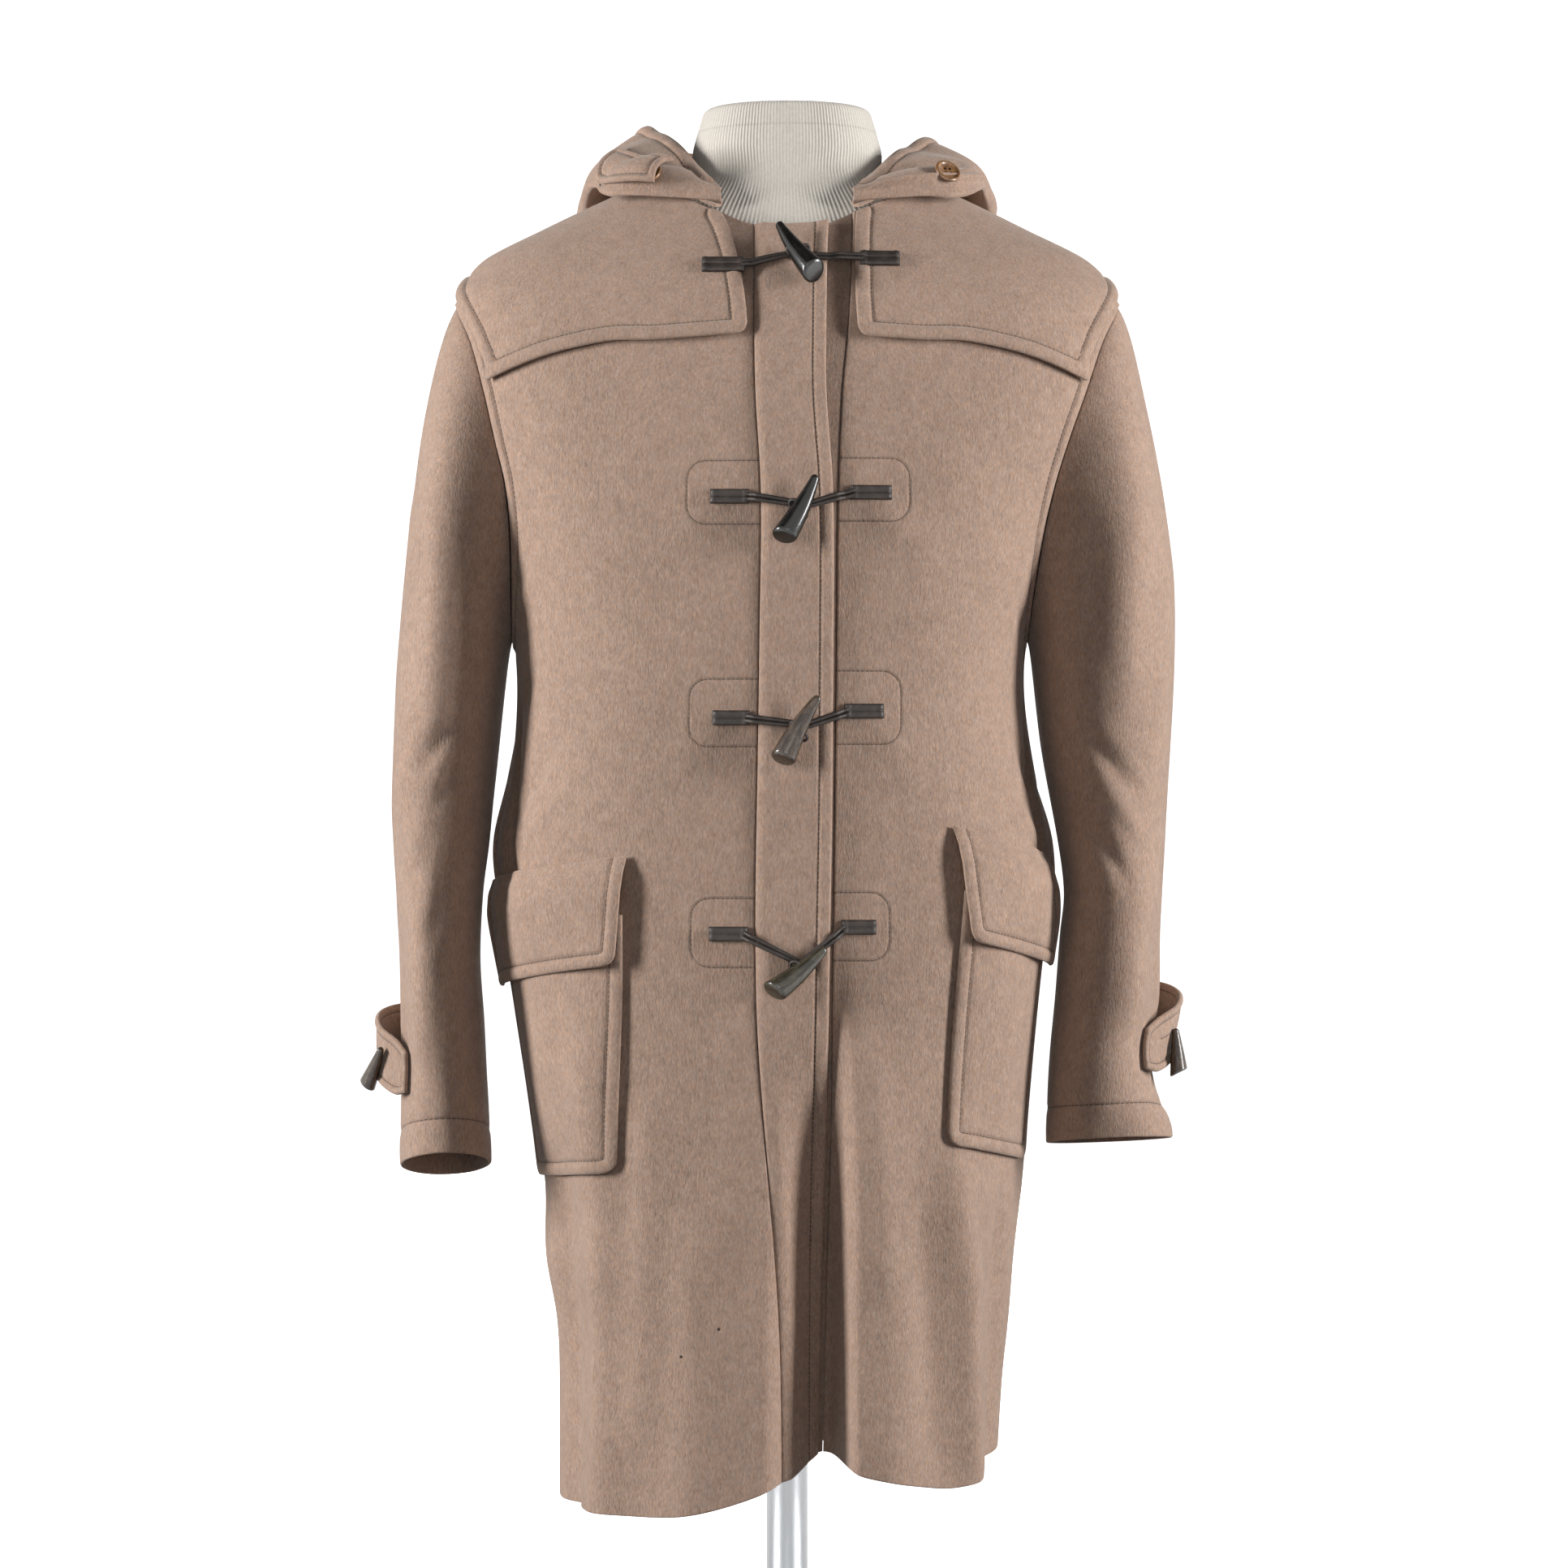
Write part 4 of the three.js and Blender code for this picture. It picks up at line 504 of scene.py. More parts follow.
def shell(outer, thick, line=None, stitches=0.0, puff=0.0, tube=False, patch=None):
    """Closed cloth of a grid of outer points. Within half a thickness r of its edge it is rounded as a half circle,
    r (1 - sqrt(1 - (1 - distance / r)^2)). Beside a sewn line it rises as puff * sin(pi * distance / stitches)^0.8
    and sinks 0.8 at the stitches. Its attributes hold the distances from the stitches and from a drawn patch."""
    normals = grid_normals(outer, tube)
    ends = list(arc(outer, 1)) + ([] if tube else list(arc(outer, 0)))
    edge = np.minimum.reduce(ends)
    round_off = 1 - np.sqrt(np.clip(1 - (1 - np.clip(edge / (thick / 2), 0, 1))**2, 0, 1))
    far = np.full(outer.shape[:2], FAR)
    relief, gap, run = 0 * far, far, 0 * far
    if line is not None:
        distance, run = nearest(outer, line)
        swell = np.sin(np.pi * np.clip(distance / stitches, 0, 1))**0.8
        relief = puff * swell - 0.8 * np.exp(-((distance - stitches) / 1.7)**2)
        relief = relief * np.clip(edge / 1.2, 0, 1)
        gap = distance - stitches
    top = outer + normals * (relief - thick / 2 * round_off)[..., None]
    under = outer - normals * (thick * (1 - round_off / 2))[..., None]
    points, faces, used = closed(top, under, tube)
    values = {"gap": gap, "run": run, "patch": far if patch is None else patch}
    doubled = {key: np.concatenate([value.ravel()] * 2)[used] * MM for key, value in values.items()}
    return Shape(points, faces, **doubled)


def rings(grid, **values):
    """Closed solid from a grid of points, round and along, with a fan of triangles on each end."""
    around, along = grid.shape[:2]
    index = np.arange(around * along).reshape(around, along)
    foot, head = around * along, around * along + 1
    following = np.roll(index, -1, 0)
    fans = [np.stack([np.full(around, foot), index[:, 0], following[:, 0]], -1),
            np.stack([np.full(around, head), following[:, -1], index[:, -1]], -1)]
    faces = grid_faces(index, True).tolist() + np.concatenate(fans).tolist()
    points = np.concatenate([grid.reshape(-1, 3), grid[:, :1].mean(0), grid[:, -1:].mean(0)])
    full = {key: np.concatenate([value.reshape(around * along, -1), value[:, 0].reshape(around, -1).mean(0)[None],
                                 value[:, -1].reshape(around, -1).mean(0)[None]]) for key, value in values.items()}
    return Shape(points, faces, **full)


def frames(path, up):
    """Unit vectors along, beside and above a path whose rough upward direction is given."""
    ahead = unit(np.gradient(path, axis=0))
    beside = unit(np.cross(ahead, up))
    return ahead, beside, np.cross(beside, ahead)


def round_cord(path, up, radius, sides=10, twist=0.0, beside=0.0):
    """Cord of round section along a path: centre + radius (cos t * beside + sin t * above). Two strands twist
    about the path where beside is set."""
    _, right, above = frames(path, up)
    length = arc(path[None], 1)[0][0]
    phase = twist * length
    centre = path + beside * (np.cos(phase)[:, None] * right + 0.25 * np.sin(phase)[:, None] * above)
    turn = np.linspace(0, 2 * np.pi, sides, endpoint=False)[:, None, None]
    ends = np.minimum(length, length[-1] - length)
    thick = radius * np.sqrt(np.clip(1 - (1 - np.clip(ends / radius, 0, 1))**2, 0.02, 1))[None, :, None]
    grid = centre + thick * (np.cos(turn) * right + np.sin(turn) * above)
    return rings(grid, own=np.stack(np.broadcast_arrays(np.cos(turn[..., 0]), np.sin(turn[..., 0]), length / 6), -1))


def merge(shapes):
    """One shape from several that have the same attributes."""
    counts = np.cumsum([0] + [len(shape.points) for shape in shapes])
    faces = [list(np.array(face) + start) for shape, start in zip(shapes, counts) for face in shape.faces]
    values = {key: np.concatenate([shape.values[key] for shape in shapes]) for key in shapes[0].values}
    return Shape(np.concatenate([shape.points for shape in shapes]), faces, **values)


def volume(points, faces):
    """Volume of a closed mesh from the tetrahedra between the origin and its faces."""
    corners = np.array([[face[0], face[k], face[k + 1]] for face in faces for k in range(1, len(face) - 1)])
    a, b, c = points[corners[:, 0]], points[corners[:, 1]], points[corners[:, 2]]
    return np.einsum("ij,ij->", a, np.cross(b, c)) / 6


def add_piece(name, shape, finish, node):
    """Object of one shape that rides on the root and stands for its CAD node."""
    faces = shape.faces if isinstance(shape.faces, list) else shape.faces.tolist()
    if volume(shape.points, faces) < 0:
        faces = [face[::-1] for face in faces]
    mesh = bpy.data.meshes.new(name)
    mesh.from_pydata((shape.points * MM).tolist(), [], faces)
    mesh.polygons.foreach_set("use_smooth", np.ones(len(mesh.polygons), bool))
    for key, value in shape.values.items():
        kind, field = ("FLOAT_VECTOR", "vector") if value.ndim == 2 and value.shape[1] == 3 else ("FLOAT", "value")
        mesh.attributes.new(key, kind, "POINT").data.foreach_set(field, value.astype(np.float32).ravel())
    mesh.update()
    mesh.materials.append(finish)
    piece = bpy.data.objects.new(name, mesh)
    bpy.context.scene.collection.objects.link(piece)
    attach(piece, "root")
    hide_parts(node)
    return piece


class Wire:
    """Socket of a node tree. Its operators add Math nodes."""

    def __init__(self, net, socket):
        self.net, self.socket = net, socket

    def math(self, operation, *others):
        sockets = {0: self} | {place + 1: other for place, other in enumerate(others)}
        return self.net.wire("ShaderNodeMath", {"operation": operation}, sockets)

    def __add__(self, other):
        return self.math("ADD", other)

    __radd__ = __add__

    def __mul__(self, other):
        return self.math("MULTIPLY", other)

    __rmul__ = __mul__

    def __sub__(self, other):
        return self.math("SUBTRACT", other)

    def __rsub__(self, other):
        return (self * -1.0).math("ADD", other)

    def __truediv__(self, other):
        return self.math("DIVIDE", other)

    def __rtruediv__(self, other):
        return self.math("POWER", -1.0) * other

    def within(self, low, high):
        """Rises from 0 to 1 between two values."""
        return self.net.wire("ShaderNodeMapRange", {"clamp": True}, {0: self, 1: low, 2: high, 3: 0.0, 4: 1.0})


class Net:
    """Material built from nodes."""

    def __init__(self, name):
        self.material = bpy.data.materials.new("coat_" + name)
        self.material.use_nodes = True
        self.tree = self.material.node_tree
        self.tree.nodes.clear()

    def node(self, kind, settings=None, sockets=None):
        """Node of a type, with its settings and the values or wires of its sockets."""
        node = self.tree.nodes.new(kind)
        for key, value in (settings or {}).items():
            setattr(node, key, value)
        for key, value in (sockets or {}).items():
            if isinstance(value, Wire):
                self.tree.links.new(value.socket, node.inputs[key])
            else:
                node.inputs[key].default_value = value
        return node

    def wire(self, kind, settings=None, sockets=None, output=0):
        return Wire(self, self.node(kind, settings, sockets).outputs[output])

    def place(self):
        return self.wire("ShaderNodeTexCoord", output="Object")

    def attribute(self, name, output="Fac"):
        return self.wire("ShaderNodeAttribute", {"attribute_name": name}, output=output)

    def stretched(self, coords, scale, turn=(0.0, 0.0, 0.0)):
        return self.wire("ShaderNodeMapping", {}, {"Vector": coords, "Rotation": turn, "Scale": scale})

    def noise(self, coords, scale, detail=2.0, roughness=0.5):
        sockets = {"Vector": coords, "Scale": scale, "Detail": detail, "Roughness": roughness}
        return self.wire("ShaderNodeTexNoise", {}, sockets)

    def mix(self, share, first, second):
        return self.wire("ShaderNodeMix", {"data_type": "RGBA"}, {0: share, 6: first, 7: second}, 2)

    def scaled(self, colour, share):
        """Colour with its three parts multiplied by one number."""
        return self.wire("ShaderNodeVectorMath", {"operation": "SCALE"}, {0: colour, 3: share})

    def bump(self, height, strength=1.0):
        """Normal bumped by a height in millimetres."""
        return self.wire("ShaderNodeBump", {}, {"Strength": strength, "Distance": MM, "Height": height})

    def finish(self, sockets):
        shader = self.wire("ShaderNodeBsdfPrincipled", {}, sockets)
        self.node("ShaderNodeOutputMaterial", {}, {"Surface": shader})
        return self.material


def rgb(colour, share=1.0):
    """Colour with its three parts multiplied, and 1 as its fourth."""
    return tuple(part * share for part in colour[:3]) + (1.0,)


def wool_material(name, settings, share=1.0, pinholes=()):
    """Melton wool: fine slanting fibres, mottling, dark stitches where gap or patch is near 0, painted shade in the
    stitched grooves beside them, and a short nap. The share scales the whole colour down, as painted shade for cloth
    that lies in shade. Each pinhole is a near-black dot of painted shade.
    """
    net = Net(name)
    place = net.place()
    slant = net.stretched(place, (1.0, 1.0, 0.24), (0.0, 0.55, 0.2))
    upright = net.stretched(place, (1.0, 1.0, 0.3), (0.2, -0.25, 0.0))
    fibres = net.noise(slant, 1500.0, 2.0)
    fluff = net.noise(upright, 620.0, 3.0)
    cloud = net.noise(place, 95.0, 3.0)
    tone = net.noise(place, 11.0, 2.0)
    light = 1.0 + (fibres - 0.5) * 0.95 + (fluff - 0.5) * 0.7 + (cloud - 0.5) * 0.34 + (tone - 0.5) * 0.2
    base = rgb(settings.wool_colour, share)
    warm = (base[0] * 1.03, base[1] * 0.98, base[2] * 0.93, 1.0)
    cool = (base[0] * 0.97, base[1] * 1.0, base[2] * 1.03, 1.0)
    colour = net.scaled(net.mix(net.noise(place, 240.0, 3.0).within(0.35, 0.65), warm, cool), light)
    gap, patch, run = net.attribute("gap"), net.attribute("patch"), net.attribute("run")
    parts = net.node("ShaderNodeSeparateXYZ", {}, {0: place})
    x, y, z = (Wire(net, parts.outputs[k]) for k in range(3))
    edge = gap.math("ABSOLUTE")
    d_line = patch.math("ABSOLUTE")
    dash = (run / 0.0036).math("FRACT").within(0.78, 0.74)
    d_dash = ((x + z) / 0.0034).math("FRACT").within(0.8, 0.76)
    thread = (edge.within(0.00062, 0.0003) * dash).math("MAXIMUM", d_line.within(0.00055, 0.00025) * d_dash)
    colour = net.mix(thread * 0.78, colour, rgb(settings.wool_colour, 0.16))
    groove = edge.within(0.0021, 0.0) + d_line.within(0.0019, 0.0)
    # Painted shade: the colour darkens near the stitches, in the groove that the bump sinks there.
    colour = net.mix(groove * 0.2, colour, rgb(settings.wool_colour, 0.35))
    # Painted shade: each pinhole is a near-black dot on the cloth, standing for the shade in a hole that the mesh
    # doesn't have.
    for across, up in pinholes:
        reach = ((x - across * MM) * (x - across * MM) + (z - up * MM) * (z - up * MM)).math("SQRT")
        inside = reach.within((PINHOLE_RADIUS + 0.5) * MM, PINHOLE_RADIUS * MM * 0.6) * y.within(0.0, -0.01)
        colour = net.mix(inside, colour, rgb(settings.wool_colour, 0.06))
    height = (fibres - 0.5) * 0.34 + (fluff - 0.5) * 0.5 + (cloud - 0.5) * 0.5 - groove * settings.stitch_depth
    return net.finish({
        "Base Color": colour, "Roughness": 0.96, "Specular IOR Level": 0.12, "Sheen Weight": 0.32,
        "Sheen Roughness": 0.45, "Sheen Tint": (1.0, 0.93, 0.86, 1.0), "Normal": net.bump(height, 0.75),
    })


def lining_material(settings):
    """Dark green-grey lining with a faint check of dark red lines, 34 mm apart."""
    net = Net("lining")
    place = net.place()
    parts = net.node("ShaderNodeSeparateXYZ", {}, {0: place})
    x, z = Wire(net, parts.outputs[0]), Wire(net, parts.outputs[2])
    lines = ((x / 0.034).math("FRACT").within(0.1, 0.04)).math("MAXIMUM", (z / 0.034).math("FRACT").within(0.1, 0.04))
    weave = net.noise(net.stretched(place, (1.0, 1.0, 0.4)), 900.0)
    colour = net.mix(lines * 0.6, (0.02, 0.026, 0.022, 1.0), (0.06, 0.014, 0.012, 1.0))
    return net.finish({"Base Color": net.scaled(colour, weave + 0.5), "Roughness": 0.85,
                       "Normal": net.bump(weave * 0.2)})


def leather_material(settings):
    """Dark waxed leather with a fine grain."""
    net = Net("leather")
    place = net.place()
    grain = net.noise(place, 700.0, 3.0)
    patches = net.noise(place, 130.0, 2.0)
    base = rgb(settings.leather_colour)
    colour = net.mix(patches.within(0.4, 0.72), base, rgb(settings.leather_colour, 2.1))
    return net.finish({"Base Color": colour, "Roughness": 0.5 + (grain - 0.5) * 0.3, "Specular IOR Level": 0.35,
                       "Normal": net.bump(grain * 0.22 + patches * 0.3)})


def horn_material(name, base, streak):
    """Polished horn with streaks along the tooth."""
    net = Net(name)
    own = net.attribute("own", "Vector")
    streaks = net.noise(net.stretched(own, (1.6, 1.6, 0.5)), 2.6, 4.0, 0.6)
    colour = net.mix(streaks.within(0.42, 0.72), base, streak)
    fine = net.noise(net.stretched(own, (5.0, 5.0, 1.4)), 7.0, 3.0)
    return net.finish({"Base Color": colour, "Roughness": 0.16 + (fine - 0.4) * 0.16, "Specular IOR Level": 0.45,
                       "Coat Weight": 0.2, "Coat Roughness": 0.1, "Normal": net.bump(fine * 0.05)})


def amber_material():
    """Clouded amber horn for the throat buttons, with painted shade in its four thread holes, which are not cut but
    darkened and sunk by the bump.
    """
    net = Net("amber")
    own = net.attribute("own", "Vector")
    cloud = net.noise(own, 3.0, 4.0, 0.6)
    colour = net.mix(cloud.within(0.35, 0.7), (0.33, 0.16, 0.06, 1.0), (0.1, 0.045, 0.02, 1.0))
    parts = net.node("ShaderNodeSeparateXYZ", {}, {0: own})
    x, y = (Wire(net, parts.outputs[k]).math("ABSOLUTE") - 0.2 for k in range(2))
    # Painted shade: the four thread holes are darkened in the colour, not cut.
    hole = (x * x + y * y).math("SQRT").within(0.13, 0.1)
    return net.finish({"Base Color": net.mix(hole, colour, (0.01, 0.006, 0.004, 1.0)), "Roughness": 0.28,
                       "Coat Weight": 0.3, "Normal": net.bump(0.0 - hole * 0.8)})


def jersey_material(settings):
    """Off-white rib jersey: upright ribs on the attribute rib, with a seam near the top. Its colour is darker in the
    ribs' hollows and along the seam: painted shade that follows the bump.
    """
    net = Net("jersey")
    place = net.place()
    rib = (net.attribute("rib") * (2 * np.pi)).math("SINE") * 0.5 + 0.5
    knit = net.noise(net.stretched(place, (1.0, 1.0, 0.35)), 900.0, 2.0)
    parts = net.node("ShaderNodeSeparateXYZ", {}, {0: place})
    seam = (Wire(net, parts.outputs[2]) - FORM_SEAM * MM).math("ABSOLUTE").within(0.0013, 0.0002)
    # Painted shade: the colour follows the ribs' relief and dips in the seam's groove.
    light = 0.84 + rib * 0.16 + (knit - 0.5) * 0.3 - seam * 0.1
    height = rib * 0.42 + knit * 0.12 - seam * 0.25
    return net.finish({"Base Color": net.scaled(tuple(settings.jersey_colour), light), "Roughness": 0.95,
                       "Specular IOR Level": 0.2, "Sheen Weight": 0.2, "Normal": net.bump(height, 0.8)})


def steel_material():
    """Brushed pale steel."""
    net = Net("steel")
    brushed = net.noise(net.stretched(net.place(), (1.0, 1.0, 14.0)), 120.0, 2.0)
    return net.finish({"Base Color": (0.55, 0.56, 0.57, 1.0), "Metallic": 0.9,
                       "Roughness": 0.28 + brushed * 0.2})


def floor_material():
    """Plain pale studio floor and wall, which glow as painted light: the glow rises from 0.3 within 0.25 m of the
    middle to full white beyond 1.1 m.
    """
    net = Net("floor")
    cloud = net.noise(net.place(), 2.0, 2.0)
    far = net.wire("ShaderNodeVectorMath", {"operation": "LENGTH"}, {0: net.place()}, "Value").within(0.25, 1.1)
    return net.finish({"Base Color": net.mix(cloud, (0.82, 0.82, 0.82, 1.0), (0.86, 0.86, 0.86, 1.0)),
                       "Emission Color": net.mix(far, (0.3, 0.3, 0.3, 1.0), (1.0, 1.0, 1.0, 1.0)),
                       "Emission Strength": 1.0, "Roughness": 0.7, "Specular IOR Level": 0.2})


def material(name, settings):
    """Material by name, built the first time it is asked for."""
    made = bpy.data.materials.get("coat_" + name)
    if made is not None:
        return made
    makers = {
        "wool": lambda: wool_material("wool", settings),
        "wool_front": lambda: wool_material("wool_front", settings, 1.0, PINHOLES),
        # Painted shade: the under band's wool is the same wool at 0.8 of its colour, darker because it lies in shade
        # beneath the over band.
        "wool_under_painted_shade": lambda: wool_material("wool_under_painted_shade", settings, 0.8),
        "lining": lambda: lining_material(settings),
        "leather": lambda: leather_material(settings),
        "horn_black": lambda: horn_material("horn_black", (0.004, 0.004, 0.0035, 1.0), (0.02, 0.017, 0.013, 1.0)),
        "horn": lambda: horn_material("horn", rgb(settings.horn_colour), rgb(settings.horn_colour, 3.5)),
        "horn_brown": lambda: horn_material("horn_brown", (0.032, 0.02, 0.013, 1.0), (0.13, 0.09, 0.06, 1.0)),
        "amber": amber_material,
        "jersey": lambda: jersey_material(settings),
        "steel": steel_material,
        "floor": floor_material,
    }
    return makers[name]()


def cloth(node, shape, settings, finish="wool"):
    """Piece of cloth in its finish, in place of its CAD node."""
    piece = add_piece(f"coat_{node}", shape, material(finish, settings), node)


def d_outlines(side, points):
    """Signed distance to the nearest D-shaped outline: that to a rectangle with rounded corners, whose inner ones
    lie under the band."""
    best = np.full(points.shape[:2], FAR)
    for outer, top, bottom in OUTLINES[side]:
        inner = -side * OUTLINE_INNER
        centre = np.array([(outer + inner) / 2, (top + bottom) / 2])
        half = np.array([abs(outer - inner) / 2, (top - bottom) / 2]) - OUTLINE_CORNER
        reach = abs(points[..., [0, 2]] - centre) - half
        far = np.linalg.norm(np.maximum(reach, 0), axis=-1) + np.minimum(reach.max(-1), 0) - OUTLINE_CORNER
        best = np.where(abs(far) < abs(best), far, best)
    return best


def front_panel(side, settings):
    """Front: angle = seam + (edge - seam) * share on each row, found with the row's height in three passes."""
    line = "over_seam" if side < 0 else "under_seam"
    share = spaced(FRONT_WIDTH, 4.6, RIM, SEWN_RIM)
    share = (share if side > 0 else 1 - share[::-1])[:, None]
    row = panel_rows()[None, :]
    angle = np.full((share.size, row.size), side * np.pi / 4)
    for _ in range(3):
        height = row_height(row, angle)
        seam = angle_across(read(OPENING, "height", line, height) + side * SEAM_GAP / 2, height)
        edge = outer_angle(side, row, height, 1)
        angle = seam + (edge - seam) * share if side > 0 else edge + (seam - edge) * share
    height = row_height(row, angle)
    points = on_trunk(angle, height)
    hole = slice(*np.searchsorted(row[0], (SHOULDER_ROWS + 0.3, SHOULDER_ROWS + ARMHOLE_ROWS - 0.3)))
    armhole = points[-1 if side > 0 else 0, hole]
    patch = d_outlines(side, points)
    shape = shell(points, CLOTH, armhole, STITCHES["armhole"], settings.edge_puff, patch=patch)
    cloth(f"front_{SIDES[side]}", shape, settings, "wool_front" if side < 0 else "wool")


def back_panel(settings):
    """Back: the angle runs from one side seam through the middle to the other on each row. The sewn line goes from
    one armhole to the other far below the coat."""
    half = spaced(BACK_WIDTH, 4.8, SEWN_RIM, (0,)) / 2
    share = np.concatenate([half[:-1], 1 - half[::-1]])[:, None]
    row = panel_rows()[None, :]
    angle = np.where(share < 0.5, 0.75, -0.75) * np.pi + np.zeros(row.shape)
    for _ in range(3):
        height = row_height(row, angle)
        start = outer_angle(1, row, height, -1)
        end = 2 * np.pi + outer_angle(-1, row, height, -1)
        from_centre = np.pi + (end - np.pi) * (2 * share - 1) - 2 * np.pi
        angle = np.where(share > 0.5, from_centre, start + (np.pi - start) * 2 * share)
    points = on_trunk(angle, row_height(row, angle))
    hole = slice(*np.searchsorted(row[0], (SHOULDER_ROWS + 0.3, SHOULDER_ROWS + ARMHOLE_ROWS - 0.3)))
    left, right = points[0, hole], points[-1, hole]
    below = np.array([0, 0, -FAR])
    armholes = np.concatenate([left, left[-1:] + below, right[:1] + below, right])
    shape = shell(points, CLOTH, armholes, STITCHES["armhole"], settings.edge_puff)
    cloth("back", shape, settings)


def opening_band(name, start, end, level, thick, settings):
    """Band down the opening: the width runs from one of the opening's lines to another on each row. The over band
    sinks to 0.7 above the front beside its seam."""
    over = start == "over_seam"
    share = spaced(BAND_WIDTH, 4.5, RIM, SEWN_RIM if over else RIM)[:, None]
    row = panel_rows()[None, :]
    angle = np.zeros((share.size, row.size))
    for _ in range(4):
        height = row_height(row, angle)
        first = read(OPENING, "height", start, height) + (SEAM_GAP / 2 if over else 0)
        last = read(OPENING, "height", end, height) - (0 if over else SEAM_GAP / 2)
        angle = angle_across(first + (last - first) * share, height)
    sunk = ease(7, 0, share * BAND_WIDTH) * (level - 0.7) if over else 0
    points = on_trunk(angle, row_height(row, angle), level - sunk)
    line = outline(points, "right") if over else None
    shape = shell(points, thick, line, STITCHES["band"], PUFFS["band"])
    # The under band takes the darker copy of the wool, which is painted shade.
    cloth(name, shape, settings, "wool" if over else "wool_under_painted_shade")


def tube_point(side, turn, height, out=0.0):
    """Sleeve's tube: x = side (middle + (half + out) cos t), y = centre - (depth + out) sin t, with the creases
    added to out."""
    table = SLEEVES[side]
    outer, inner, centre, depth = (read(table, "height", key, height) for key in ("outer", "inner", "centre", "depth"))
    half = (outer - inner) / 2
    rise = 0.35 * np.sin(3 * turn + height / 31) + 0.3 * np.sin(5 * turn - height / 47)
    for top, top_turn, bottom, bottom_turn, width, amount in rows(SLEEVE_CREASES[side]):
        along = np.clip((top - height) / (top - bottom), 0, 1)
        path = (top_turn + (bottom_turn - top_turn) * along) * DEGREE
        across = np.arctan2(np.sin(turn - path), np.cos(turn - path)) * np.sqrt(half * depth) / width
        fade = ease(top, top - 35, height) * ease(bottom, bottom + 35, height)
        rise = rise + amount * fade * np.exp(-across * across)
    x = (outer + inner) / 2 + (half + out + rise) * np.cos(turn)
    y = centre - (depth + out + rise) * np.sin(turn)
    return np.stack(np.broadcast_arrays(side * x, y, height), -1).astype(float)


def sleeve(side, settings):
    """Sleeve: P = root + (tube - root) s, with s = 1 - (1 - min(along / 0.2, 1))^2 from the armhole downwards."""
    turn = (-side * np.linspace(0, 2 * np.pi, 96, endpoint=False))[:, None]
    along = spaced(SLEEVE_LENGTH, 5, RIM, (*RIM, 6, 10))[None, :]
    start = -0.1 - 1.1 * np.cos(turn)
    height = ARMHOLE_CENTRE + (ARMHOLE_HALF_HEIGHT - SEAM_GAP) * np.cos(turn)
    depth = -(ARMHOLE_HALF_WIDTH - SEAM_GAP) * np.sin(turn)
    root = on_trunk(angle_in_depth(side, depth, height), height, start)
    cuff = CUFFS[side]
    middle = (cuff["front"] + cuff["back"]) / 2
    front = middle + (cuff["front"] - cuff["back"]) / 2 * np.sin(turn)
    across = (cuff["outer"] + cuff["inner"]) / 2 + (cuff["outer"] - cuff["inner"]) / 2 * np.cos(turn)
    foot = (across + front) / 2 + (front - middle) / 2
    tube = tube_point(side, turn, root[..., 2] + (foot - root[..., 2]) * along)
    spread = (1 - (1 - np.minimum(along / SLEEVE_HEAD, 1))**2)[..., None]
    points = root + (tube - root) * spread
    mouth = np.concatenate([points[:, -1], points[:1, -1]])
    shape = shell(points, CLOTH, mouth, STITCHES["cuff"], PUFFS["cuff"], tube=True)
    cloth(f"sleeve_{SIDES[side]}", shape, settings)


def yoke_edge(side, part):
    """Lower edge of the yoke: along the front, up round the armhole's oval and level to the centre back."""
    bottom, far = YOKE_INNER[side]["bottom"], side * YOKE_FRONT["across"][-1]
    corner = angle_across(np.array(far), np.array(YOKE["corner"]))
    back_corner = side * YOKE_BACK["angle"][0] * DEGREE
    across = bottom + (far - bottom) * part / YOKE_CORNER
    front_height = read(YOKE_FRONT, "across", "height", abs(across))
    front = angle_across(across, front_height)
    tall = ARMHOLE_HALF_HEIGHT + YOKE["armhole"]
    rise = np.arcsin((YOKE["corner"] - ARMHOLE_CENTRE) / tall)
    turn = rise + (np.pi - 2 * rise) * np.clip((part - YOKE_CORNER) / (YOKE_BACK_CORNER - YOKE_CORNER), 0, 1)
    hole_height = ARMHOLE_CENTRE + tall * np.sin(turn)
    hole = angle_in_depth(side, -(ARMHOLE_HALF_WIDTH + YOKE["armhole"]) * np.cos(turn), hole_height)
    start = ease(YOKE_CORNER + YOKE["turning"], YOKE_CORNER, part)
    end = ease(YOKE_BACK_CORNER - YOKE["turning"], YOKE_BACK_CORNER, part)
    hole = hole + (corner - hole) * start + (back_corner - hole) * end
    centre = side * np.pi - side * SEAM_GAP / 2 / read(SECTIONS, "height", "back", YOKE["corner"])
    back = back_corner + (centre - back_corner) * (part - YOKE_BACK_CORNER) / (1 - YOKE_BACK_CORNER)
    back_height = read(YOKE_BACK, "angle", "height", abs(back) / DEGREE)
    kinds = [part < YOKE_CORNER, part <= YOKE_BACK_CORNER]
    return np.select(kinds, [front, hole], back), np.select(kinds, [front_height, hole_height], back_height)


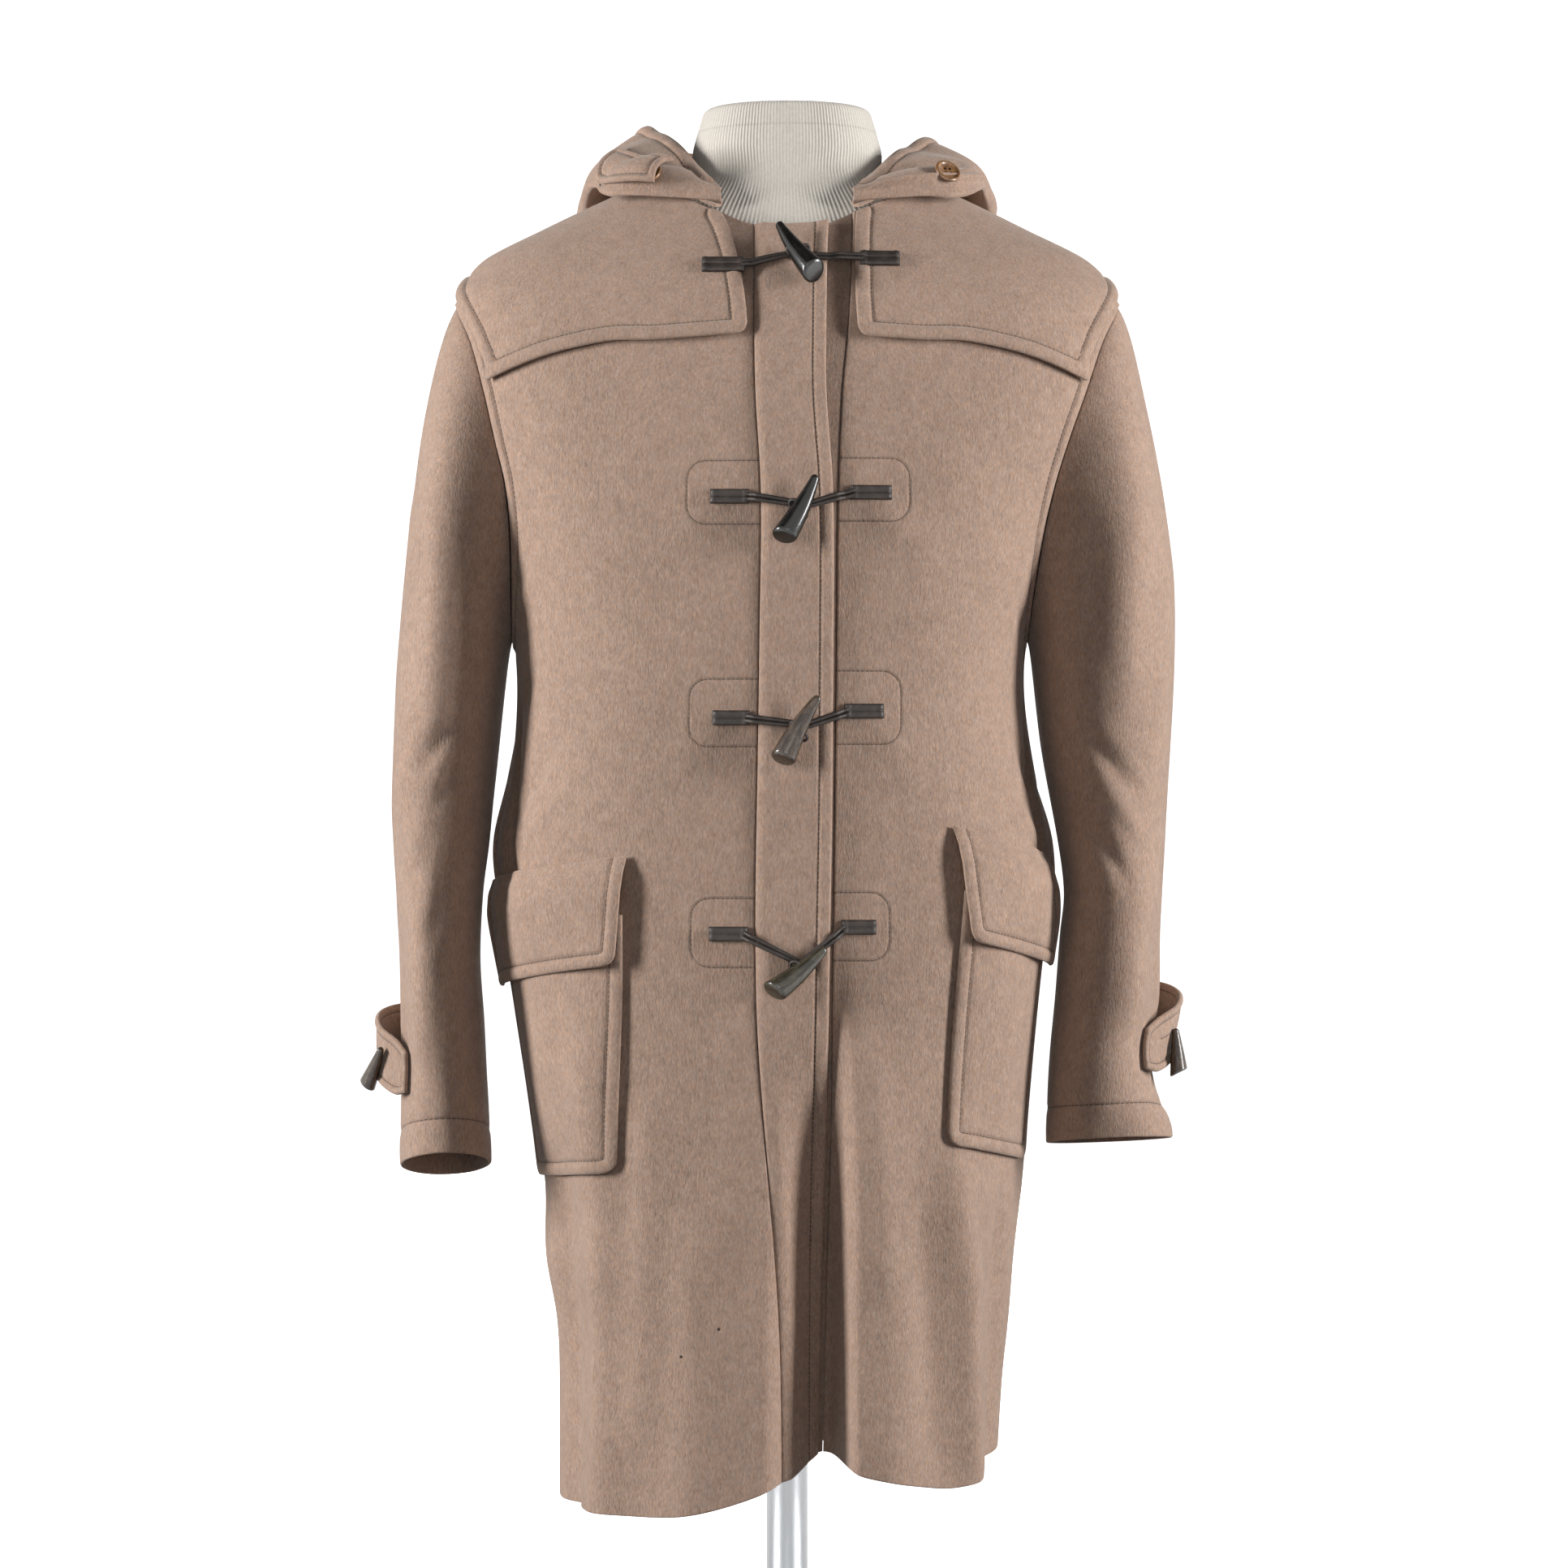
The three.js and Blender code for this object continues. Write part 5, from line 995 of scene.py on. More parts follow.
def yoke(side, settings):
    """Yoke half: straight lines on the trunk from the neckline to the lower edge, with a bow in its front edge of
    sin(pi v^0.8)."""
    front = spaced(YOKE_SIZE["edge"], 4.2, SEWN_RIM, (0, 2, 5)) * YOKE_CORNER
    armhole = np.linspace(YOKE_CORNER, YOKE_BACK_CORNER, 56)
    back = YOKE_BACK_CORNER + spaced(YOKE_SIZE["edge"], 5, (0, 2, 5), RIM) * (1 - YOKE_BACK_CORNER)
    parts = np.concatenate([front[:-1], armhole[:-1], back])
    part = (parts if side > 0 else parts[::-1])[:, None]
    down = spaced(YOKE_SIZE["down"], 4, RIM, SEWN_RIM)[None, :]
    part, down = round_corners(part, down, YOKE_SIZE["edge"] / YOKE_CORNER, YOKE_SIZE["corner"], YOKE["round"],
                               ((0, 1),))
    edge_angle, edge_height = yoke_edge(side, part)
    start = angle_across(np.array(YOKE_INNER[side]["top"]), np.array(YOKE["top"]))
    centre = side * np.pi - side * SEAM_GAP / 2 / read(SECTIONS, "height", "back", YOKE["corner"])
    top = start + (centre - start) * read(YOKE_NECK, "part", "angle", part)
    neck = read(NECKLINE, "angle", "height", abs(top) / DEGREE) - YOKE["neck_drop"]
    bow = YOKE_BOW[side] * np.sin(np.pi * down**0.8) * ease(0.14, 0, part)
    angle = top + (edge_angle - top) * down + bow
    points = on_trunk(angle, neck + (edge_height - neck) * down, YOKE["outer"])
    line = outline(points, "bottom right" if side < 0 else "left bottom")
    shape = shell(points, CLOTH, line, STITCHES["yoke"], settings.edge_puff)
    cloth(f"yoke_{SIDES[side]}", shape, settings)


def catmull(points, share):
    """Centripetal Catmull-Rom curve through five points at a share of its spans, as a cubic in each span."""
    before, after = 2 * points[0] - points[1], 2 * points[-1] - points[-2]
    chain = [before, *points, after]
    place = np.clip(share, 0, 1) * 4
    span = np.clip(np.floor(place), 0, 3)
    w = place - span
    curves = []
    for k in range(4):
        a, b, c, d = chain[k:k + 4]
        da, db, dc = (np.linalg.norm(q - p, axis=-1, keepdims=True)**0.5 for p, q in ((a, b), (b, c), (c, d)))
        first = ((b - a) / da - (c - a) / (da + db) + (c - b) / db) * db
        last = ((c - b) / db - (d - b) / (db + dc) + (d - c) / dc) * db
        curves.append(b + first * w + (3 * c - 3 * b - 2 * first - last) * w**2 + (2 * b - 2 * c + first + last) * w**3)
    return np.select([span == k for k in range(4)], curves)


def hood_at(side, along, across):
    """Hood's surface: across from the neck seam under the roll, round its fold and up its belly to the mouth."""
    along, across = np.clip(along, 0, 1), np.clip(across, 0, 1)
    degrees = read(HOOD_STATIONS, "along", "angle", along)
    neck = read(NECKLINE, "angle", "height", degrees)
    seam = on_trunk(side * degrees * DEGREE, neck - 1, 7.5)
    drop = HOOD_DROP["mouth"] * np.sin(np.pi * along) if side > 0 else np.zeros_like(along)
    stations = []
    for name in ("under", "fold", "belly", "mouth"):
        x, y, z = (read(HOOD_STATIONS, "along", f"{name}_{axis}", along) for axis in "xyz")
        lower = {"belly": drop * HOOD_DROP["belly"], "mouth": drop}.get(name, 0)
        stations.append(np.stack([side * x, y, z - lower], -1))
    return catmull([seam, *stations], across[..., None])


def on_hood(side, along, across, out=0.0):
    """Hood point moved out along its normal, from differences of 0.004 of the shares."""
    along, across = np.broadcast_arrays(np.asarray(along, float), np.asarray(across, float))
    down = hood_at(side, along, across - 0.004) - hood_at(side, along, across + 0.004)
    around = (hood_at(side, along + 0.004, across) - hood_at(side, along - 0.004, across)) * side
    normal = np.cross(down, around)
    normal[along == 1, 0] = 0
    return hood_at(side, along, across) + unit(normal) * np.asarray(out, float)[..., None]


def hood_rise(side, along, across):
    """Creases of the hood, each a Gaussian beside its line in the plane of the shares, taken as 420 by 240 mm."""
    size = np.array([HOOD_SIZE["along"], HOOD_SIZE["creases"]], float)
    place = np.stack(np.broadcast_arrays(along, across), -1) * size
    rise = 0.5 * np.sin(place[..., 0] / 17) * np.sin(place[..., 1] / 23)
    for a, b, c, d, width, amount in rows(HOOD_CREASES[side]):
        start, end = np.array([a, b]) * size, np.array([c, d]) * size
        way = end - start
        t = ((place - start) @ way) / (way @ way)
        gap = np.linalg.norm(place - start - np.clip(t, 0, 1)[..., None] * way, axis=-1)
        rise = rise + amount * np.exp(-(gap / width)**2)
    return rise


def hood_half(side, settings):
    """Hood half from its front corner to the centre-back seam. The stitches along its mouth start 20 mm behind the
    corner."""
    along = spaced(HOOD_SIZE["along"], 5, RIM, RIM)[:, None]
    along = along if side > 0 else 1 - along
    across = 1 - spaced(HOOD_SIZE["across"], 4, SEWN_RIM, RIM)[None, :]
    seam_fade = ease(1.0, 0.94, along) * ease(0.0, 0.1, across)
    points = on_hood(side, along, across, hood_rise(side, along, across) * seam_fade)
    points[np.broadcast_to(along == 1, points.shape[:2]), 0] = side * SEAM_GAP / 2
    mouth = points[8:, 0] if side > 0 else points[:-8, 0]
    shape = shell(points, CLOTH, mouth, STITCHES["hood"], PUFFS["hood"])
    cloth(f"hood_{SIDES[side]}", shape, settings)


def hood_lining(settings):
    """Lining inside both halves, from near the mouth to the fold: the hood's surface moved in by its thickness."""
    half = np.linspace(0.13, 1, 56)
    across = 1 - spaced(HOOD_SIZE["lining"], 5, RIM, RIM)[None, :] * 0.56 - 0.085
    parts = []
    for side in (1, -1):
        along = (half if side > 0 else half[::-1])[:, None]
        out = -CLOTH - LAID_GAP + hood_rise(side, along, across) * ease(1.0, 0.94, along)
        points = on_hood(side, along, across, out)
        points[np.broadcast_to(along == 1, points.shape[:2]), 0] = 0
        parts.append(points)
    points = np.concatenate([parts[0][:-1], parts[1]])
    shape = shell(points, LINING_CLOTH)
    cloth("hood_lining", shape, settings, "lining")


def patch_shares(side, size, step):
    """Shares across and down a pocket or flap, with its two lower corners rounded."""
    across = spaced(size["across"], step, SEWN_RIM, SEWN_RIM)[:, None]
    across = across if side > 0 else 1 - across
    down = spaced(size["down"], step, RIM, SEWN_RIM)[None, :]
    return round_corners(across, down, size["across"], size["down"], size["corner"], ((0, 1), (1, 1)))


def patch_place(side, patch, across, down, far_top):
    """Angle and height on the front under a pocket or flap, from the near edge to the far one."""
    top = patch["top"] + (far_top - patch["top"]) * across
    foot = patch["near_foot"] + (patch["far_foot"] - patch["near_foot"]) * across
    height = top + (foot - top) * down
    near = angle_across(side * (patch["near_top"] + (patch["near_bottom"] - patch["near_top"]) * down), height)
    return near + (side * patch["far"] * DEGREE - near) * across, height


def pocket(side, settings):
    """Patch pocket that gapes by 3.2 sin(pi u) cos(pi v^2 / 2) under its flap."""
    across, down = patch_shares(side, POCKET_SIZE, 4)
    angle, height = patch_place(side, POCKETS[side], across, down, POCKETS[side]["top"])
    gape = 3.2 * np.sin(np.pi * across) * np.cos(np.pi / 2 * down * down)
    points = on_trunk(angle, height, PATCH_GAP + gape + PATCH_CLOTH)
    shape = shell(points, PATCH_CLOTH, outline(points, "left bottom right"), STITCHES["pocket"], PUFFS["pocket"])
    cloth(f"pocket_{SIDES[side]}", shape, settings)


def flap(side, settings):
    """Pocket flap: laid at its seam and eased out to 7.6 below it, with a roll of exp(-((v - 0.13) / 0.09)^2) beside
    the seam and a sine wave of 1.6 along its foot."""
    across, down = patch_shares(side, FLAP_SIZE, 3.5)
    angle, height = patch_place(side, FLAPS[side], across, down, FLAPS[side]["far_top"])
    wave = np.sin(2 * np.pi * (across * 1.3 + 0.2)) * ease(0.4, 1, down) * 1.6
    roll = 2.2 * np.exp(-((down - 0.13) / 0.09)**2)
    points = on_trunk(angle, height, 1.3 + 7.6 * ease(0, 0.34, down) + PATCH_CLOTH + wave + roll)
    shape = shell(points, PATCH_CLOTH, outline(points, "left bottom right"), STITCHES["flap"], PUFFS["pocket"])
    cloth(f"flap_{SIDES[side]}", shape, settings)


def tooth(base, tip, up, radius, tip_radius, slant=0.4, bend=1.6):
    """Horn tooth: radius R (1 - (1 - tip / R) s^1.25) from the base to the tip, with a rounded end, a slanted foot
    and a slight bend."""
    turn = np.linspace(0, 2 * np.pi, 40, endpoint=False)[:, None]
    s = np.concatenate([np.array([0, 0.004, 0.012, 0.025, 0.045, 0.07]), np.linspace(0.1, 0.94, 44),
                        1 - 0.05 * (1 - np.linspace(0.1, 1, 9))**1.6])[None, :]
    length = np.linalg.norm(tip - base)
    way = (tip - base) / length
    beside = unit(np.cross(way, up))
    above = np.cross(beside, way)
    body = radius * (1 - (1 - tip_radius / radius) * s**1.25)
    foot = np.sqrt(np.clip(1 - (1 - np.clip(s / 0.045, 0, 1))**2, 0, 1)) * 0.28 + 0.72
    head = np.sqrt(np.clip(1 - np.clip((s - 0.95) / 0.05, 0, 1)**2, 0, 1))
    r = body * foot * head
    wobble = 1 + 0.03 * np.sin(2 * turn + 1) + 0.015 * np.sin(3 * turn)
    across, over = r * wobble * np.cos(turn), r * wobble * np.sin(turn)
    along = s * length + slant * over * (1 - s)**3 + 0.12 * across * (1 - s)**3
    shift = bend * 4 * s * (1 - s)
    grid = (base + along[..., None] * way + (across + shift)[..., None] * beside + over[..., None] * above)
    own = np.stack(np.broadcast_arrays(across / radius, over / radius, along / 12), -1)
    return rings(grid, own=own), way, beside, above


def cord_ring(centre, way, beside, above, radius, thick):
    """Small ring of cord on one side of a toggle, a torus."""
    turn = np.linspace(0, 2 * np.pi, 41)
    path = centre + radius * (np.cos(turn)[:, None] * beside + np.sin(turn)[:, None] * above)
    section = np.linspace(0, 2 * np.pi, 10, endpoint=False)[:, None, None]
    out = unit(path - centre)
    grid = path + thick * (np.cos(section) * out + np.sin(section) * way)
    index = np.arange(grid.shape[0] * 40).reshape(grid.shape[0], 40)
    own = np.stack(np.broadcast_arrays(np.cos(section[..., 0]), np.sin(section[..., 0]), turn[:40] * 2), -1)
    return Shape(grid[:, :40].reshape(-1, 3), grid_faces(index, True, True).tolist(), own=own.reshape(-1, 3))


def leather_tab(start, end, height, ground):
    """Tab of two leather cords bound flat: thickness 2.4 (0.6 + 0.4 sqrt|sin(pi v)|), with a bar tack near each
    end."""
    across = np.linspace(-1, 1, 25)[:, None]
    reach = spaced(abs(end - start), 1.0, (0, 0.3, 0.8, 1.5), (0, 0.3, 0.8, 1.5))[None, :]
    x = start + (end - start) * reach + 0 * across
    z = height + 5.5 * across + 0 * reach
    ends = np.minimum(reach, 1 - reach) * abs(end - start)
    edge = np.minimum(ends, (1 - abs(across)) * 5.5)
    hump = 0.6 + 0.4 * np.sqrt(abs(np.sin(np.pi * across)))
    tack = 0.75 * (np.exp(-((ends - 3.2) / 1.3)**4))
    thick = 2.4 * hump * np.sqrt(np.clip(1 - (1 - np.clip(edge / 1.3, 0, 1))**2, 0, 1)) + tack * np.clip(edge, 0, 1)
    angle = angle_across(x, z)
    top = on_trunk(angle, z, ground + np.maximum(thick, 0.02))
    foot = on_trunk(angle, z, ground + 0 * thick)
    points, faces, _ = closed(top, foot)
    return Shape(points, faces)


def on_front(x, height, out):
    """Point of the trunk at x and a height, moved out."""
    return on_trunk(angle_across(np.asarray(x, float), np.asarray(height, float)), height, out)


def fastening(number, settings):
    """One fastening: the toggle, and on each side a tab and a doubled cord with a small ring at the toggle."""
    tab = {key: value[number - 1] for key, value in TABS.items()}
    toggle = {key: value[number - 1] for key, value in TOGGLES.items()}
    over = OVER_BAND + LAID_GAP
    ground = tab["ground"] + LAID_GAP
    rest = (over + max(over, ground)) / 2 + 2.2
    base = on_front(toggle["base_x"], toggle["base_z"], rest + 8.8)
    tip = on_front(toggle["tip_x"], toggle["tip_z"], rest + 6)
    middle = (toggle["tip_x"] + toggle["base_x"]) / 2
    middle_z = (toggle["tip_z"] + toggle["base_z"]) / 2
    up = unit(on_front(middle, middle_z, 5.0) - on_front(middle, middle_z, 0.0))
    shape, way, beside, above = tooth(base, tip, up, 9.2, 2.8, bend=1.4 * (-1)**number)
    finish = "horn_black" if number < 3 else ("horn_brown" if number == 3 else "horn")
    add_piece(f"coat_toggle_{number}", shape, material(finish, settings), f"toggle_{number}")
    for side, which in SIDES.items():
        begin, stop = tab[f"{which}_from"], tab[f"{which}_to"]
        leather = material("leather", settings)
        add_piece(f"coat_tab_{which}_{number}", leather_tab(begin, stop, tab[which], ground), leather,
                  f"tab_{which}_{number}")
        near = stop - 4 if side < 0 else begin + 4
        band_edge = read(OPENING, "height", "over_seam" if side < 0 else "over_edge", tab[which])
        far = middle - side * 6
        x = np.linspace(near, far, 60)
        share = (x - near) / (far - near)
        height = tab[which] + (middle_z + side * -1.5 - tab[which]) * share
        climb = ease(band_edge + side * 9, band_edge + side * 2, x)
        out = ground + (over - ground) * climb + 1.6 + 0.4 * np.sin(np.pi * share)
        path = on_front(x, height, out)
        strands = [round_cord(path, up, 1.6, beside=sign * 1.75, twist=0.02) for sign in (-1, 1)]
        waist = 0.45 - side * 0.04
        slope = unit(0.75 * way + 0.65 * above)
        outward = beside * np.sign(beside[0] * side)
        centre = base + (tip - base) * waist + outward * 4.6
        ring = cord_ring(centre, np.cross(outward, slope), outward, slope, 3.4, 1.25)
        add_piece(f"coat_thong_{which}_{number}", merge([*strands, ring]), leather,
                  f"thong_{which}_{number}")


def cuff_tab(side, settings):
    """Cuff strap on its stations round the sleeve, thick and puffed, with its slit under the toggle."""
    stations = CUFF_TABS[side]
    first, last = stations["turn"][0], stations["turn"][-1]
    share = spaced(110, 2.6, STRAP_RIM, STRAP_RIM)[:, None]
    share = share if side < 0 else 1 - share
    turn = first + (last - first) * share
    down = spaced(40, 2, STRAP_RIM, STRAP_RIM)[None, :]
    tall = read(stations, "turn", "width", turn)
    height = read(stations, "turn", "height", turn) + tall * (0.5 - down)
    out = read(stations, "turn", "standoff", turn) + 3 + 0 * down
    points = tube_point(side, turn * DEGREE + 0 * down, height, out)
    spot = CUFF_TOGGLES[side]
    slit = (spot["base_turn"] - first) / (last - first)
    hole = np.hypot(np.clip(abs(share - slit) - 0.09, 0, 1) * 134, (down - 0.45) * 44)
    shape = shell(points, 3, outline(points, "left bottom right top"), 6, 1.0, patch=hole)
    which = SIDES[side]
    cloth(f"cuff_tab_{which}", shape, settings)
    tip = tube_point(side, np.array(spot["tip_turn"] * DEGREE), np.array(spot["tip_z"]), spot["tip_out"])
    foot = tube_point(side, np.array(spot["base_turn"] * DEGREE), np.array(spot["base_z"]), spot["base_out"])
    up = np.array([side * np.cos(spot["base_turn"] * DEGREE), -np.sin(spot["base_turn"] * DEGREE), 0.0])
    horn, _, _, _ = tooth(foot, tip, up, 7.0, 2.3, bend=0.8)
    add_piece(f"coat_cuff_toggle_{which}", horn, material("horn_brown", settings), f"cuff_toggle_{which}")


def throat_tab(settings):
    """Throat strap on the hood's right side, lifted at its front end."""
    share = spaced(60, 2, STRAP_RIM, STRAP_RIM)[:, None]
    along = 0.27 + (0.1 - 0.27) * share
    drop = spaced(50, 2, STRAP_RIM, STRAP_RIM)[None, :]
    across = 0.84 + (0.6 - 0.84) * drop
    out = 3.9 + 5.5 * ease(0.3, 0.9, share) + 2.6 * np.sin(np.pi * drop) * ease(0.1, 0.6, share)
    points = on_hood(-1, along, across, out + hood_rise(-1, along, across))
    hole = np.hypot(np.clip(abs(share - 0.72) - 0.15, 0, 1) * 52, (drop - 0.5) * 50)
    shape = shell(points, 3, outline(points, "left bottom right top"), 6, 1.2, patch=hole)
    cloth("throat_tab", shape, settings)


def throat_button(side, settings):
    """Round button with a raised rim that lies on the hood."""
    along, across = (np.array(value) for value in BUTTONS[side])
    foot, head = on_hood(side, along, across, 0.0), on_hood(side, along, across, 1.0)
    way = unit(head - foot)
    beside = unit(np.cross(way, (0, 0, 1)))
    above = np.cross(beside, way)
    profile = np.array(BUTTON_PROFILE)
    turn = np.linspace(0, 2 * np.pi, 48, endpoint=False)[:, None]
    r, out = profile[:, 0][None], profile[:, 1][None] + BUTTON_GAP + 0 * turn
    lift = hood_rise(side, along, across)
    grid = (foot + (out + lift)[..., None] * way + (r * np.cos(turn))[..., None] * beside
            + (r * np.sin(turn))[..., None] * above)
    own = np.stack(np.broadcast_arrays(r * np.cos(turn), r * np.sin(turn), out), -1) / BUTTON_RADIUS
    which = SIDES[side]
    add_piece(f"coat_throat_button_{which}", rings(grid, own=own), material("amber", settings),
              f"throat_button_{which}")


def form_body(settings):
    """Dress form: level superellipses, with rounded edges at the neck's flat top and at the foot."""
    turn = np.linspace(-np.pi, np.pi, 128, endpoint=False)[:, None]
    level = np.concatenate([FORM_TOP - FORM_EDGE * (1 - np.cos(np.linspace(0, np.pi / 2, 7))),
                            np.linspace(FORM_TOP - 8, FORM_FOOT + 4, 150),
                            FORM_FOOT + 3 * (1 - np.sin(np.linspace(0, np.pi / 2, 4)))])[None, :]
    square, width, front, back = (read(FORM_SECTIONS, "height", key, level)
                                  for key in ("square", "width", "front", "back"))
    depth = np.where(np.cos(turn) > 0, front, back)
    radius = (abs(np.sin(turn) / width)**square + abs(np.cos(turn) / depth)**square)**(-1 / square)
    edge = np.sqrt(np.clip(1 - (1 - np.clip((FORM_TOP - level) / FORM_EDGE, 0, 1))**2, 0, 1))
    radius = radius - FORM_EDGE * (1 - edge)
    grid = np.stack(np.broadcast_arrays(radius * np.sin(turn), -radius * np.cos(turn), level), -1)
    rib = np.broadcast_to(turn / (2 * np.pi) * FORM_RIBS, grid.shape[:2])
    shape = rings(grid, rib=rib)
    shape.values["rib"] = shape.values["rib"].ravel()
    add_piece("form_body_jersey", shape, material("jersey", settings), "form_body")


def turned(profile, sides):
    """Solid turned about Z from pairs of radius and height."""
    turn = np.linspace(0, 2 * np.pi, sides, endpoint=False)[:, None]
    r, z = np.array(profile, float).T
    return rings(np.stack(np.broadcast_arrays(r * np.cos(turn), r * np.sin(turn), z), -1))


def form_stand(settings):
    """Pole with its collar, and the round base plate."""
    steel = material("steel", settings)
    pole = [(0.1, 34.3), (15.5, 34.3), (16, 34.8), (16, 493), (16.2, 493.4), (33, 493.7), (34, 494.7),
            (34, 518.7), (33, 519.7), (0.1, 519.7)]
    base = [(0.1, 0), (164, 0), (165, 1), (165, 8), (164, 10), (161, 11.7), (158, 12), (31, 12.3), (30, 13.5),
            (30, 32.5), (28.5, 34), (0.1, 34)]
    add_piece("form_pole_steel", turned(pole, 64), steel, "form_pole")
    add_piece("form_base_steel", turned(base, 128), steel, "form_base")


def area_light(name, place, aim, size, power):
    """White rectangular light at a place that faces its aim."""
    data = bpy.data.lights.new(name, "AREA")
    data.shape, data.size, data.size_y, data.energy = "RECTANGLE", size[0], size[1], power
    lamp = bpy.data.objects.new(name, data)
    bpy.context.scene.collection.objects.link(lamp)
    lamp.location = place
    back = unit(np.array(place, float) - np.array(aim, float))
    side = unit(np.cross((0, 0, 1), back))
    lamp.rotation_euler = Matrix(np.stack([side, np.cross(back, side), back], 1).tolist()).to_euler()


def stage(settings):
    """Round white studio, soft lights, dim world, and the camera at the photo's angle. The floor bends up into the wall
    on a quarter circle, and glows as painted light that diffuse rays don't see."""
    scene = bpy.context.scene
    bend = np.linspace(0, np.pi / 2, 16)
    r = np.concatenate([[0.001, 2.0], FLOOR_RADIUS + WALL_BEND * np.sin(bend), [FLOOR_RADIUS + WALL_BEND]])
    z = np.concatenate([[0.0, 0.0], WALL_BEND * (1 - np.cos(bend)), [WALL_TOP]])
    turn = np.linspace(0, 2 * np.pi, 97)[:, None]
    points = np.stack(np.broadcast_arrays(r * np.cos(turn), r * np.sin(turn), z), -1).reshape(-1, 3)
    mesh = bpy.data.meshes.new("floor")
    mesh.from_pydata(points.tolist(), [], grid_faces(np.arange(len(points)).reshape(97, -1))[:, ::-1].tolist())
    mesh.polygons.foreach_set("use_smooth", np.ones(len(mesh.polygons), bool))
    mesh.materials.append(material("floor", settings))
    floor = bpy.data.objects.new("floor", mesh)
    scene.collection.objects.link(floor)
    floor.visible_diffuse = False
    for name, place, aim, size, power in LIGHTS:
        area_light(name, place, aim, size, power * settings.light)
    world = bpy.data.worlds.new("studio")
    world.use_nodes = True
    background = world.node_tree.nodes["Background"].inputs
    background["Color"].default_value = WORLD_COLOUR
    background["Strength"].default_value = WORLD_STRENGTH * settings.light
    scene.world = world
    scene.view_settings.view_transform = "Standard"
    camera = bpy.data.objects.new("camera", bpy.data.cameras.new("camera"))
    camera.data.lens, camera.data.sensor_width = CAMERA_LENS, CAMERA_SENSOR
    camera.location = CAMERA_PLACE
    camera.rotation_euler = (np.pi / 2, 0, 0)
    scene.collection.objects.link(camera)
    scene.camera = camera


class DuffleCoatSettings(bpy.types.PropertyGroup):
    """Colours and finish of the coat."""

    wool_colour: bpy.props.FloatVectorProperty(
        name="Wool", description="Colour of the wool", subtype="COLOR", size=3, min=0, max=1,
        default=(0.386, 0.27, 0.209))
    leather_colour: bpy.props.FloatVectorProperty(
        name="Leather", description="Colour of the tabs and cords", subtype="COLOR", size=3, min=0, max=1,
        default=(0.022, 0.016, 0.013))
    horn_colour: bpy.props.FloatVectorProperty(
        name="Horn", description="Colour of the lowest toggle", subtype="COLOR", size=3, min=0, max=1,
        default=(0.026, 0.022, 0.014))
    jersey_colour: bpy.props.FloatVectorProperty(
        name="Jersey", description="Colour of the dress form's cover", subtype="COLOR", size=3, min=0, max=1,
        default=(0.7, 0.65, 0.58))
    edge_puff: bpy.props.FloatProperty(
        name="Edge puff", description="Rise of the cloth between an edge and its stitches, in millimetres",
        default=1.5, min=0, max=3)
    stitch_depth: bpy.props.FloatProperty(
        name="Stitch depth", description="Depth of the stitched groove, in millimetres", default=0.7, min=0, max=2)
    light: bpy.props.FloatProperty(
        name="Light", description="Strength of the studio light", default=1.0, min=0, max=5, subtype="FACTOR")


class PieceOperator:
    """Builds one group of pieces from the scene's settings."""

    bl_options = {"REGISTER", "UNDO"}

    def execute(self, context):
        self.build(context.scene.duffle_coat)
        return {"FINISHED"}


class AddTrunk(PieceOperator, bpy.types.Operator):
    """Adds the fronts, the back and the opening's bands"""

    bl_idname = "duffle_coat.add_trunk"
    bl_label = "Fronts, back and bands"

    def build(self, settings):
        front_panel(-1, settings)
        front_panel(1, settings)
        back_panel(settings)
        opening_band("band_over", "over_seam", "over_edge", OVER_BAND, BAND_CLOTH, settings)
        opening_band("band_under", "under_edge", "under_seam", UNDER_BAND, CLOTH, settings)


class AddSleeves(PieceOperator, bpy.types.Operator):
    """Adds the sleeves"""

    bl_idname = "duffle_coat.add_sleeves"
    bl_label = "Sleeves"

    def build(self, settings):
        sleeve(-1, settings)
        sleeve(1, settings)


class AddYoke(PieceOperator, bpy.types.Operator):
    """Adds the yoke's halves"""

    bl_idname = "duffle_coat.add_yoke"
    bl_label = "Yoke"

    def build(self, settings):
        yoke(-1, settings)
        yoke(1, settings)


class AddHood(PieceOperator, bpy.types.Operator):
    """Adds the hood, its lining, the throat tab and its buttons"""

    bl_idname = "duffle_coat.add_hood"
    bl_label = "Hood and throat tab"

    def build(self, settings):
        hood_half(-1, settings)
        hood_half(1, settings)
        hood_lining(settings)
        throat_tab(settings)
        throat_button(-1, settings)
        throat_button(1, settings)


